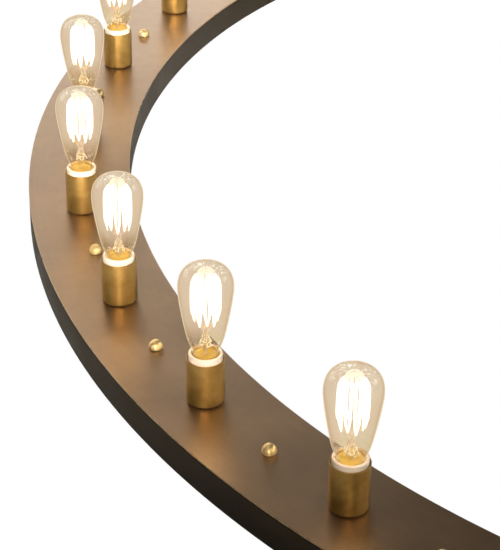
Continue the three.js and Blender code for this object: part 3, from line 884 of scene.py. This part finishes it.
# ---------------------------------------------------------------- lampholders
# up the outside, over the rim, down the bore
body_prof = rounded(
    [
        (3.6, TOP + 2.4, 0),
        (16.5, TOP + 2.4, 1.0),
        (PORCELAIN_R - 0.5, TOP + 6, 2.0),
        (PORCELAIN_R - 0.5, 78, 0.6),
        (PORCELAIN_R, 79, 0.6),
        (PORCELAIN_R, MOUTH, 2.6),
        (MOUTH_R + 0.1, MOUTH, 1.5),
        (MOUTH_R + 0.1, MOUTH - 8.4, 0.6),
        (14.2, MOUTH - 9.4, 0.3),
        (14.2, BORE_FLOOR - 0.6, 0.6),
        (3.6, BORE_FLOOR - 0.6, 0),
    ],
    6,
)
v, f, _ = lathe(body_prof, 96, closed=True)
porcelain_mesh = build_mesh("porcelain_body", v, f, [M_PORCELAIN], sharp=35)

# threaded brass shell inside, with its flared lip standing in the mouth
SHELL_LOW = BORE_FLOOR + 1.0
lip = [(14.12, MOUTH - 9.6), (14.5, MOUTH - 8.9), (15.7, MOUTH - 8.0), (15.85, MOUTH - 6.0), (15.85, MOUTH - 1.7), (15.6, MOUTH - 1.2), (15.35, MOUTH - 1.5), (15.3, MOUTH - 6.0), (15.1, MOUTH - 7.6), (13.9, MOUTH - 8.8), (13.72, MOUTH - 9.6)]
inner_line = [(13.72, z) for z in np.linspace(SHELL_LOW + 0.4, MOUTH - 10.0, 60)[::-1]]
prof = [(13.72, SHELL_LOW), (14.12, SHELL_LOW)] + lip + inner_line


def shell_thread(r, z, a):
    if r < 13.8 and SHELL_LOW + 1 < z < MOUTH - 10.5:
        return 13.72 + 0.14 * math.cos(2 * math.pi * z / 3.62 - a)
    return r


v, f, fm = lathe(prof, 64, closed=True, mats=[1 if z > MOUTH - 8.5 else 0 for r, z in prof], radius=shell_thread)
shell_mesh = build_mesh("threaded_shell", v, f, [M_SHELL, M_GOLD], fm, sharp=50)

# centre contact spring, nipple and locknut under the plate
contact = merged(
    (*lathe(rounded([(0, BORE_FLOOR - 0.5), (4.2, BORE_FLOOR - 0.5, 0.3), (4.2, BORE_FLOOR + 0.3, 0.4), (2.2, BORE_FLOOR + 0.8, 0.3), (0, BORE_FLOOR + 0.9)], 3, closed=False), 24, closed=False)[:2],)
)
contact_mesh = build_mesh("contact_leaf", contact[0], contact[1], [M_SHELL], sharp=35)
nip = [(3.5, 30.3), (NIPPLE_R - 0.5, 30.0)]
z = 30.3
while z < UNDER + 1.2:
    nip += [(NIPPLE_R, z + 0.25), (NIPPLE_R, z + 0.4), (NIPPLE_R - 0.42, z + 0.75), (NIPPLE_R - 0.42, z + 0.85)]
    z += 1.0
nip += [(NIPPLE_R - 0.42, TOP + 2.3), (3.5, TOP + 2.3)]
nv, nf, _ = lathe(nip, 24, closed=True)
hexa = [(NIPPLE_R + 0.05, UNDER - GAP - 4.5), (7.2, UNDER - GAP - 4.5), (8.6, UNDER - GAP - 3.9), (8.6, UNDER - GAP - 0.6), (7.6, UNDER - GAP - 0.05), (NIPPLE_R + 0.05, UNDER - GAP - 0.05)]


def hex_shape(across_corner):
    def shape(r, z, a):
        if r < 7.0:
            return r
        side = (a + math.pi / 6) % (math.pi / 3) - math.pi / 6
        flat = across_corner * math.cos(math.pi / 6) / math.cos(side)
        return min(r, flat)

    return shape


hv, hf, _ = lathe(hexa, 48, closed=True, radius=hex_shape(8.6))
merged_nip = merged((nv, nf), (hv, hf))
nipple_mesh = build_mesh("nipple_and_locknut", merged_nip[0], merged_nip[1], [M_STEEL], sharp=28)
for k in range(STATIONS):
    n, p = k + 1, point_at(k)
    place(f"porcelain_holder_{n}", porcelain_mesh, "bar", [f"lampholder_{n}"], at=p)
    place(f"threaded_shell_{n}", shell_mesh, "bar", at=p, turn=0.7 * k)
    place(f"contact_leaf_{n}", contact_mesh, "bar", at=p)
    place(f"nipple_{n}", nipple_mesh, "bar", at=p, turn=0.4 * k)

# ---------------------------------------------------------------- bulbs
# screw cap: contact, black insulator, rolled thread, plain skirt
cap_prof = [(0, TIP), (2.6, TIP + 0.1), (4.2, TIP + 0.8), (4.7, TIP + 1.6)]
cap_mats = [2] * 4
cap_prof += [(5.4, TIP + 1.9), (9.3, TIP + 4.6), (11.2, TIP + 6.1), (11.7, TIP + 6.6)]
cap_mats += [1] * 4
cap_prof += [(12.2, TIP + 7.0)]
cap_mats += [0]
tz = np.linspace(TIP + 7.6, TIP + 23.0, 56)
cap_prof += [(12.7, z) for z in tz]
cap_mats += [0] * len(tz)
cap_prof += [(12.75, TIP + 23.4), (CAP_R - 0.15, CAP_TOP - 2.0), (CAP_R, CAP_TOP - 0.8), (CAP_R - 0.15, CAP_TOP - 0.1), (CAP_R - 0.5, CAP_TOP), (CAP_R - 0.8, CAP_TOP - 0.3), (CAP_R - 0.85, CAP_TOP - 2.2)]
cap_mats += [0] * 7
# inside: the skirt's inner face and the cement floor under the glass
cap_prof += [(CAP_R - 0.85, TIP + 15.2), (9.0, TIP + 14.6), (0, TIP + 14.6)]
cap_mats += [0] * 3


def cap_thread(r, z, a):
    if abs(r - 12.7) < 1e-6 and TIP + 7 < z < TIP + 23.2:
        fade = min(1.0, (z - TIP - 7) / 2.0, (TIP + 23.4 - z) / 2.0)
        return 12.7 + 0.5 * fade * math.cos(2 * math.pi * z / 3.62 - a)
    return r


v, f, fm = lathe(cap_prof, 64, closed=False, mats=cap_mats, radius=cap_thread)
cap_mesh = build_mesh("screw_cap", v, f, [M_SHELL, M_BLACK, M_SOLDER], fm, sharp=50)

# envelope
outer_pts = [
    (12.1, TIP + 16),
    (12.1, TIP + 22),
    (12.4, TIP + 26.2),
    (13.4, TIP + 29.5),
    (14.3, TIP + 33.5),
    (15.2, TIP + 38.0),
    (16.7, TIP + 41.6),
    (18.6, TIP + 46.0),
    (20.5, TIP + 51.5),
    (22.1, TIP + 57.5),
    (24.7, TIP + 70.0),
    (27.3, TIP + 84.0),
    (29.6, TIP + 98.0),
    (31.1, TIP + 110.0),
    (31.5, TIP + 117.0),
    (31.0, TIP + 124.0),
    (29.2, TIP + 130.7),
    (25.8, TIP + 136.4),
    (20.9, TIP + 140.7),
    (14.5, TIP + 143.7),
    (7.3, TIP + 145.5),
    (0.0, GLASS_TOP),
]
op = [(max(0.0, float(q[0])), float(q[1])) for q in curve_through(outer_pts, 5)]
op[-1] = (0.0, GLASS_TOP)
gt = 0.8
ip = []
for i, (r, z) in enumerate(op):
    a, b = op[max(i - 1, 0)], op[min(i + 1, len(op) - 1)]
    t = np.array([b[0] - a[0], b[1] - a[1]], float)
    t /= np.linalg.norm(t)
    ip.append((max(0.0, r - t[1] * gt), z + t[0] * gt))
ip[-1] = (0.0, GLASS_TOP - gt)
glass_prof = op + ip[::-1]
v, f, _ = lathe(glass_prof, 96, closed=True)
glass_mesh = build_mesh("envelope", v, f, [M_GLASS], sharp=60)


def glass_radius(z):
    """Inside radius of the envelope at a height."""
    zs_, rs_ = [q[1] for q in op], [q[0] for q in op]
    return float(np.interp(z, zs_, rs_)) - gt


def collar_for(seat):
    """Plated collar that closes the neck inside the glass, level with the lampholder's lip."""
    z = MOUTH - 1.9 - seat
    r = glass_radius(z) - 0.25
    prof = rounded(
        [
            (0, z - 2.8),
            (r - 0.9, z - 2.8, 0.3),
            (r, z - 0.4, 0.4),
            (r - 0.1, z, 0.3),
            (r - 1.5, z - 0.1, 0.4),
            (r - 2.4, z - 1.5, 0.6),
            (5.5, z - 1.2, 2.0),
            (0, z - 1.0),
        ],
        5,
        closed=False,
    )
    cv, cf, _ = lathe(prof, 72, closed=False)
    return build_mesh("neck_collar", cv, cf, [M_GOLD], sharp=40)


# glass stem: a flare, a pinch with its wires, the centre rod and its two buttons
stem_prof = [(2.4, TIP + 27.0), (2.3, TIP + 33.0), (2.5, TIP + 37.6), (4.6, TIP + 39.6), (6.3, TIP + 41.6), (6.6, TIP + 43.6), (5.8, TIP + 46.4), (4.9, TIP + 49.4), (4.3, TIP + 52.6), (4.2, TIP + 55.4), (3.4, TIP + 57.8), (2.0, TIP + 59.4), (0.9, TIP + 60.0), (0, TIP + 60.2)]


def pinch(r, z, a):
    s = min(1.0, max(0.0, (z - (TIP + 42)) / 8.0))
    wx, wy = 1 + 0.25 * s, 1 - 0.50 * s
    lobes = 1 + 0.07 * (1 - s) * math.cos(7 * a) + 0.05 * math.cos(3 * a + z * 0.5)
    return r * lobes * wx * wy / math.sqrt((wy * math.cos(a)) ** 2 + (wx * math.sin(a)) ** 2)


stem_line = [(float(q[0]), float(q[1])) for q in curve_through(stem_prof, 3)]
stem_line = [(max(r, 0.0), z) for r, z in stem_line]
stem_line[-1] = (0.0, TIP + 60.2)
sv, sf, _ = lathe([(0, TIP + 27.0)] + stem_line, 42, closed=False, radius=pinch)
HUB_LOW, HUB_TOP = TIP + 67.0, TIP + 139.5
rod_v, rod_f = tube([(0, 0, TIP + 58.0), (0, 0, TIP + 64.0), (0, 0, TIP + 100.0), (0, 0, HUB_TOP)], 0.75, 10)
b1 = (*ball((0, 0, HUB_LOW), 2.0, 1.15), 1)
b2 = (*ball((0, 0, HUB_TOP), 1.8, 0.9), 1)
# folds where the flare is melted onto the neck, and the wire ends welded at the pinch
curls = []
for i in range(9):
    a = 2 * math.pi * i / 9 + 0.2
    r0, h0, size = (6.2, 5.2)[i % 2] + 0.5 * math.sin(2.3 * i), (47.2, 49.8)[i % 2] + 0.9 * math.sin(1.7 * i), (2.4, 1.9)[i % 2] + 0.3 * math.cos(2.9 * i)
    ca, sa, tilt = math.cos(a), math.sin(a), 0.5 + 0.25 * math.sin(3.1 * i)
    loop = []
    for q in np.linspace(0, 2 * math.pi, 14, endpoint=False):
        u, w = size * math.cos(q), size * math.sin(q)
        loop.append((ca * (r0 - w * 0.35) - sa * u, sa * (r0 - w * 0.35) + ca * u, TIP + h0 + w * math.cos(tilt)))
    curls.append(tube(loop, 0.42, 6, closed=True))
for i in range(5):
    a = 2 * math.pi * i / 5 + 0.6
    ca, sa, size = math.cos(a), math.sin(a), 1.7
    loop = []
    for q in np.linspace(0, 2 * math.pi, 12, endpoint=False):
        u, w = size * math.cos(q), size * math.sin(q)
        loop.append((ca * 3.8 - sa * u, sa * 3.8 + ca * u, TIP + 54.4 + 0.8 * math.sin(2.6 * i) + w))
    curls.append(tube(loop, 0.36, 6, closed=True))
sm = merged((sv, sf), (rod_v, rod_f, 0), b1, b2, *[(*q[:2], 1) for q in curls])
stem_mesh = build_mesh("stem_and_rod", sm[0], sm[1], [M_STEM, M_CURL], sm[2], sharp=50)

# filament: hairpin loops strung between the crown and the lower supports
BULB_WATTS = 0.1
LOOPS = 10
CAGE_R, LOOP_R = 15.7, 13.4
CAGE_TOP, LOOP_Z = TIP + 120.0, TIP + 74.0


def polar(r, a, z):
    return (r * math.cos(a), r * math.sin(a), z)


strands, arms, wires = [], [], []
for i in range(LOOPS):
    a = 2 * math.pi * (i + 0.25) / LOOPS
    d = math.pi / LOOPS
    drop = (0.0, -1.8, 1.6, -0.6, 2.2, -1.4, 0.9, -2.0, 1.2, -0.9)[i % 10]
    up0, up1 = a - 0.56 * d, a + 0.56 * d
    pts = [
        polar(CAGE_R - 6.5, up0, CAGE_TOP + 12.5),
        polar(CAGE_R - 2.4, up0, CAGE_TOP + 7.6),
        polar(CAGE_R - 0.3, up0, CAGE_TOP),
        polar(CAGE_R + 0.2, up0 + 0.01, CAGE_TOP - 14),
        polar(CAGE_R, up0 + 0.04, CAGE_TOP - 32),
        polar(LOOP_R + 1.1, a - 0.30 * d, LOOP_Z + 7 + drop),
        polar(LOOP_R, a, LOOP_Z + drop),
        polar(LOOP_R + 1.1, a + 0.30 * d, LOOP_Z + 7 + drop),
        polar(CAGE_R, up1 - 0.04, CAGE_TOP - 32),
        polar(CAGE_R + 0.2, up1 - 0.01, CAGE_TOP - 14),
        polar(CAGE_R - 0.3, up1, CAGE_TOP),
        polar(CAGE_R - 2.4, up1, CAGE_TOP + 7.6),
        polar(CAGE_R - 6.5, up1, CAGE_TOP + 12.5),
    ]
    line = curve_through(pts, 5)
    last = len(line) - 1
    rad = []
    for j in range(last + 1):
        mid = abs(j - last / 2) / (last / 2)  # 0 at the loop, 1 at the crown
        rad.append(0.55 + 1.15 * min(1.0, mid / 0.42) - 0.90 * max(0.0, (mid - 0.74) / 0.26))
    strands.append(tube(line, rad, 9))
    # crown arms: from the top button over the shoulder down to each strand
    for e in (up0, up1):
        arm = curve_through([polar(1.2, e, HUB_TOP + 0.4), polar(5.0, e, HUB_TOP - 0.6), polar(8.2, e, HUB_TOP - 2.6), polar(CAGE_R - 6.3, e, CAGE_TOP + 12.2)], 4)
        arms.append(tube(arm, 0.72, 7))
    # wire ends curled back over the top
    reach = (4.4, 6.6, 5.2, 7.4, 4.8)[i % 5]
    hook = [polar(reach + 1.7 * math.sin(t), a + 1.5 * math.cos(t) / reach, HUB_TOP + 1.5 - 0.07 * reach * reach + 1.1 * math.cos(t + 0.4)) for t in np.linspace(0, 5.6, 12)]
    arms.append(tube(hook, 0.36, 6))
    # lower support: from the low button out to the loop, ending in a small hook
    low = curve_through([polar(1.4, a, HUB_LOW), polar(5.0, a, HUB_LOW - 0.6), polar(10.5, a, LOOP_Z - 0.8 + drop * 0.7), polar(LOOP_R + 0.6, a, LOOP_Z + 0.7 + drop)], 4)
    wires.append(tube(low, 0.42, 6))
# thin braces from the pinch up to the loops
braces = []
for i in range(6):
    a = 2 * math.pi * (i + 0.4) / 6
    b = a + (0.9, -0.7)[i % 2]
    line = curve_through([polar(2.4, a, TIP + 56.5), polar(2.9, a, TIP + 60.0), polar(5.4, b, TIP + 66.0), polar(LOOP_R - 2.6, b, LOOP_Z + 0.4)], 4)
    braces.append(tube(line, 0.3, 6))
# lead wires up from the pinch
for side in (-1, 1):
    lead = curve_through([(2.2 * side, 0, TIP + 56.0), (3.2 * side, 0.8, TIP + 60.0), (7.6 * side, 1.6, TIP + 66.0), polar(LOOP_R, 0.2 if side > 0 else math.pi + 0.2, LOOP_Z + 1.0)], 5)
    wires.append(tube(lead, 0.42, 6))
fmesh = merged(*strands)
filament_mesh = build_mesh("filament_loops", fmesh[0], fmesh[1], [M_FILAMENT], sharp=60)
wmesh = merged(*[(*q[:2], 0) for q in wires], *[(*q[:2], 1) for q in arms], *[(*q[:2], 2) for q in braces])
support_mesh = build_mesh("support_wires", wmesh[0], wmesh[1], [M_SUPPORT, M_CROWN, M_CURL], wmesh[2], sharp=60)

for k in range(STATIONS):
    n, p, body = k + 1, point_at(k, 0, SEAT[k]), f"bulb_{k + 1}"
    turn = 1.9 + 0.53 * k
    place(f"screw_cap_{n}", cap_mesh, body, [f"bulb_cap_{n}"], at=p, turn=0.7 * k)
    place(f"neck_collar_{n}", collar_for(SEAT[k]), body, at=p)
    g = place(f"envelope_{n}", glass_mesh, body, [f"bulb_glass_{n}"], at=p, turn=turn)
    g.visible_shadow = False
    st = place(f"stem_{n}", stem_mesh, body, at=p, turn=turn)
    st.visible_shadow = False
    fo = place(f"filament_loops_{n}", filament_mesh, body, [f"bulb_filament_{n}"], at=p, turn=turn)
    wo = place(f"support_wires_{n}", support_mesh, body, at=p, turn=turn)
    for o in (fo, wo):
        o.visible_shadow = False
        o.visible_diffuse = False
        o.visible_glossy = False
    for j, z in enumerate((TIP + 82.0, TIP + 113.0)):
        light = bpy.data.lights.new(f"glow_{n}_{j}", "POINT")
        light.energy = BULB_WATTS
        light.color = (1.0, 0.89, 0.74)
        light.shadow_soft_size = 0.028
        lo = bpy.data.objects.new(f"glow_{n}_{j}", light)
        scene.collection.objects.link(lo)
        lo.location = (p.x * MM, p.y * MM, (z + p.z) * MM)
        lo.visible_camera = False
        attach(lo, body)

# ---------------------------------------------------------------- wiring
section = [(TRUNK_OFF + TRUNK_R * math.cos(a), TRUNK_Z + TRUNK_R * math.sin(a)) for a in np.linspace(0, 2 * math.pi, 20, endpoint=False)]
tv, tf = swept(section, -0.04, STATIONS - 1 + 0.04, 200)
place("wiring_sleeve", build_mesh("wiring_sleeve", tv, tf, [M_SLEEVE], sharp=50), "bar", ["wire_harness"])


def local_frame(k):
    """Matrix whose X is outwards, Y along the arc and Z up, at the centre line."""
    a = angle_at(k)
    c = point_at(k)
    m = Matrix.Rotation(a, 4, "Z")
    m.translation = c
    return m


blk, wht = [], []
for k in range(STATIONS):
    m = local_frame(k)
    base = curve_through([(TRUNK_OFF - 2.0, 0, TRUNK_Z), (27, 0, 14.4), (16, 0, 15.5), (7, 0, 18.0), (1.5, 0, 22.5), (0, 0, 29.0), (0, 0, 34.0)], 8)
    for side, bag in ((0, blk), (1, wht)):
        pts = []
        for i, q in enumerate(base):
            ph = 0.55 * i + math.pi * side
            t = base[min(i + 1, len(base) - 1)] - base[max(i - 1, 0)]
            t /= np.linalg.norm(t)
            u = np.array([0, 1.0, 0])
            w = np.cross(t, u)
            pts.append(tuple(m @ Vector(q + 1.12 * (math.cos(ph) * u + math.sin(ph) * w))))
        bag.append(tube(pts, 1.05, 10))
for k, bag in ((3.02, blk), (3.12, wht)):
    m = local_frame(k)
    pts = curve_through([(TRUNK_OFF - 2.0, 0, TRUNK_Z), (26, 0, 13), (17, 0, 10.4), (10.5, 0, 10.0)], 8)
    bag.append(tube([tuple(m @ Vector(q)) for q in pts], 1.3, 10))
for name, bag, mat in (("lamp_leads_black", blk, M_WIRE_BLACK), ("lamp_leads_white", wht, M_WIRE_WHITE)):
    q = merged(*bag)
    place(name, build_mesh(name, q[0], q[1], [mat], sharp=50), "bar")

ties = []
for i in range(22):
    k = 0.17 + i * 0.318
    m = local_frame(k)
    prof = rounded([(TRUNK_R + 0.05, -1.2, 0.2), (TRUNK_R + 0.75, -1.2, 0.25), (TRUNK_R + 0.75, 1.2, 0.25), (TRUNK_R + 0.05, 1.2, 0.2)], 2)
    lv, lf, _ = lathe(prof, 28, closed=True)
    # the band's axis lies along the arc
    bandv = [tuple(m @ Vector((TRUNK_OFF + x, z, TRUNK_Z + y))) for x, y, z in lv]
    ties.append((bandv, lf))
    hv = []
    for x, y, z in [(sx, sy, sz) for sx in (-1.9, 1.9) for sy in (-1.5, 1.5) for sz in (TRUNK_R + 0.5, TRUNK_R + 3.0)]:
        hv.append(tuple(m @ Vector((TRUNK_OFF + x, y, TRUNK_Z + z))))
    hf = [(0, 1, 3, 2), (4, 6, 7, 5), (0, 4, 5, 1), (2, 3, 7, 6), (0, 2, 6, 4), (1, 5, 7, 3)]
    ties.append((hv, hf))
q = merged(*ties)
tie_mesh = build_mesh("cable_ties", q[0], q[1], [M_TIE], sharp=35)
place("cable_ties", tie_mesh, "bar")


# twist-on connectors
def ridged(r, z, a):
    if r < 1.0:
        return r
    grip = min(1.0, max(0.0, (z - 3.5) / 2.5)) * min(1.0, max(0.0, (20.0 - z) / 3.0))
    return r - 0.28 * grip * (0.5 + 0.5 * math.cos(14 * a))


cprof = rounded([(0, 0.2), (4.9, 0.2, 0.3), (5.6, 0.2, 0.5), (6.0, 3.0, 0.6), (5.6, 3.6, 0.3), (5.5, 5.0, 0.5), (5.2, 14.0, 1.0), (3.3, 19.8, 1.4), (0, 21.0)], 4, closed=False)
cprof = [(max(0.0, r), z) for r, z in cprof]
v, f, _ = lathe(cprof, 84, closed=False, radius=ridged)
for name, node, k, mat, slot_name in (
    ("twist_connector_red", "wire_connector_live", 3.02, M_RED, "connector_red"),
    ("twist_connector_grey", "wire_connector_neutral", 3.12, M_GREY, "connector_grey"),
):
    me = build_mesh(name, v, f, [mat], sharp=40)
    a = angle_at(k)
    m = Matrix.Translation(point_at(k, 9 - 0.4, 10) * MM) @ Matrix.Rotation(a, 4, "Z") @ Matrix.Rotation(-math.pi / 2, 4, "Y")
    place(name, me, "bar", [node], matrix=m)

# supply bushing
prof = rounded(
    [(7.2, 0.3, 0.4), (10.3, 0.3, 0.5), (10.3, RAIL_T + GAP, 0), (13.2, RAIL_T + GAP, 0.3), (13.2, RAIL_T + 1.6, 0.5), (9.0, RAIL_T + 3.0, 0.8), (7.2, RAIL_T + 3.0, 0.6)],
    4,
)


def snap(r, z, a):
    if r > 9.9 and z < RAIL_T:
        return r - 0.35 * (0.5 + 0.5 * math.cos(6 * a)) ** 6
    return r


v, f, _ = lathe(prof, 72, closed=True, radius=snap)
place("snap_bushing", build_mesh("snap_bushing", v, f, [M_NYLON], sharp=30), "bar", ["inlet_bushing"], at=point_at(INLET_AT))

# ground screw: slotted hex washer head
wv, wf, _ = lathe(rounded([(0, GAP), (1.7, GAP, 0.2), (1.7, RAIL_T + 0.3), (4.6, RAIL_T + 0.3, 0.15), (4.6, RAIL_T + 1.1, 0.3), (3.4, RAIL_T + 1.3), (0, RAIL_T + 1.3)], 3, closed=False), 40, closed=False)


def hex_head(r, z, a):
    if r < 1.6:
        return r
    side = (a + math.pi / 6) % (math.pi / 3) - math.pi / 6
    return r * math.cos(math.pi / 6) / math.cos(side)


hv, hf, _ = lathe([(0, RAIL_T + 1.2), (3.5, RAIL_T + 1.2), (3.5, RAIL_T + 3.2), (3.1, RAIL_T + 3.6), (1.8, RAIL_T + 3.6), (1.4, RAIL_T + 3.0), (0, RAIL_T + 3.0)], 36, closed=False, radius=hex_head)
q = merged((wv, wf), (hv, hf))
place("earth_screw", build_mesh("earth_screw", q[0], q[1], [M_GREEN], sharp=28), "bar", ["ground_screw"], at=point_at(GROUND_AT, -8))

# ---------------------------------------------------------------- studio
s = Nodes("pale_floor")
c = s.coords()
fine = s.noise(c, 3.0, 3.0, 0.5)
soft = s.n("ShaderNodeBsdfDiffuse", Color=s.ramp(fine, [(0.3, (0.80, 0.79, 0.78, 1)), (0.7, (0.84, 0.83, 0.82, 1))]))
white = s.n("ShaderNodeEmission", Color=(1, 1, 1, 1), Strength=1.0)
path = s.n("ShaderNodeLightPath")
mixed = s.n("ShaderNodeMixShader")
s.put(mixed, 0, path.outputs["Is Camera Ray"])
s.put(mixed, 1, soft.outputs[0])
s.put(mixed, 2, white.outputs[0])
s.out(mixed.outputs[0])
floor_me = bpy.data.meshes.new("floor")
floor_me.from_pydata([(-14, -14, -0.0006), (14, -14, -0.0006), (14, 14, -0.0006), (-14, 14, -0.0006)], [], [(0, 1, 2, 3)])
floor_me.materials.append(s.m)
floor = bpy.data.objects.new("floor", floor_me)
scene.collection.objects.link(floor)

world = bpy.data.worlds.new("studio")
scene.world = world
world.use_nodes = True
wt = world.node_tree
wt.nodes.clear()
w_out = wt.nodes.new("ShaderNodeOutputWorld")
w_mix = wt.nodes.new("ShaderNodeMixShader")
w_cam = wt.nodes.new("ShaderNodeBackground")
w_cam.inputs[0].default_value = (1, 1, 1, 1)
w_cam.inputs[1].default_value = 1.0
w_env = wt.nodes.new("ShaderNodeBackground")
w_env.inputs[0].default_value = (1.0, 0.985, 0.96, 1)
w_env.inputs[1].default_value = 0.01
w_path = wt.nodes.new("ShaderNodeLightPath")
wt.links.new(w_path.outputs["Is Camera Ray"], w_mix.inputs[0])
wt.links.new(w_env.outputs[0], w_mix.inputs[1])
wt.links.new(w_cam.outputs[0], w_mix.inputs[2])
wt.links.new(w_mix.outputs[0], w_out.inputs[0])


def area(name, loc, aim, size, energy, color=(1, 1, 1)):
    light = bpy.data.lights.new(name, "AREA")
    light.shape = "RECTANGLE"
    light.size, light.size_y = size
    light.energy = energy
    light.color = color
    ob = bpy.data.objects.new(name, light)
    scene.collection.objects.link(ob)
    ob.location = loc
    d = Vector(aim) - Vector(loc)
    ob.rotation_euler = d.to_track_quat("-Z", "Y").to_euler()
    return ob


area("back_left", (-2.2, -2.4, 1.4), (0, 0, 0.05), (2.4, 1.5), 34.0, (1.0, 0.98, 0.94))
area("back_left_mid", (-2.5, -0.8, 2.15), (0.4, -0.15, 0.05), (0.8, 0.5), 6, (1.0, 0.97, 0.9))
area("back_high", (-3.0, 0.0, 2.4), (0, 0, 0.05), (1.8, 1.2), 3.0, (1.0, 0.99, 0.95))
area("back_low", (-3.0, -0.1, 0.85), (0, 0, 0.05), (1.8, 0.7), 13, (1.0, 0.96, 0.88))
area("back_right", (-2.2, 2.4, 1.4), (0, 0, 0.05), (1.6, 1.0), 4, (0.8, 0.9, 1.0))
area("right_soft", (0.0, 3.0, 1.5), (0, 0, 0.05), (1.6, 1.0), 24, (0.98, 1.0, 0.96))
area("front_right", (2.4, 2.6, 1.0), (0, 0, 0.05), (1.6, 1.0), 22, (1.0, 0.95, 0.80))
area("front_soft", (3.4, 0.0, 2.4), (0, 0, 0.05), (1.6, 1.0), 9, (1.0, 0.9, 0.6))
# soft box with a grid, kept to the far half of the bar
far = area("far_grid", (2.8, -0.3, 0.9), (-0.5, 0, 0.07), (0.5, 0.4), 2.5, (1.0, 0.94, 0.82))
far.data.spread = math.radians(15)

# ---------------------------------------------------------------- camera
cam_data = bpy.data.cameras.new("camera")
cam_data.sensor_fit = "HORIZONTAL"
cam_data.sensor_width = 36.0
cam_data.lens = 1854.349 / 500.0 * 36.0
cam_data.clip_start = 0.05
cam_data.clip_end = 60.0
cam = bpy.data.objects.new("camera", cam_data)
scene.collection.objects.link(cam)
right = Vector((0.06444247, 0.99783026, 0.01348808))
up = Vector((-0.48969773, 0.01984328, 0.87166644))
fwd = Vector((-0.86950751, 0.06277744, -0.48991397))
pos = Vector((2369.37904842, -119.26441359, 1198.28)) * MM
cam.matrix_world = Matrix(
    (
        (right.x, up.x, -fwd.x, pos.x),
        (right.y, up.y, -fwd.y, pos.y),
        (right.z, up.z, -fwd.z, pos.z),
        (0, 0, 0, 1),
    )
)
scene.camera = cam
scene.view_settings.view_transform = "Standard"
scene.view_settings.look = "None"
scene.cycles.transparent_max_bounces = 48
scene.cycles.max_bounces = 10
scene.cycles.sample_clamp_indirect = 6.0
scene.cycles.caustics_reflective = False
scene.cycles.caustics_refractive = False
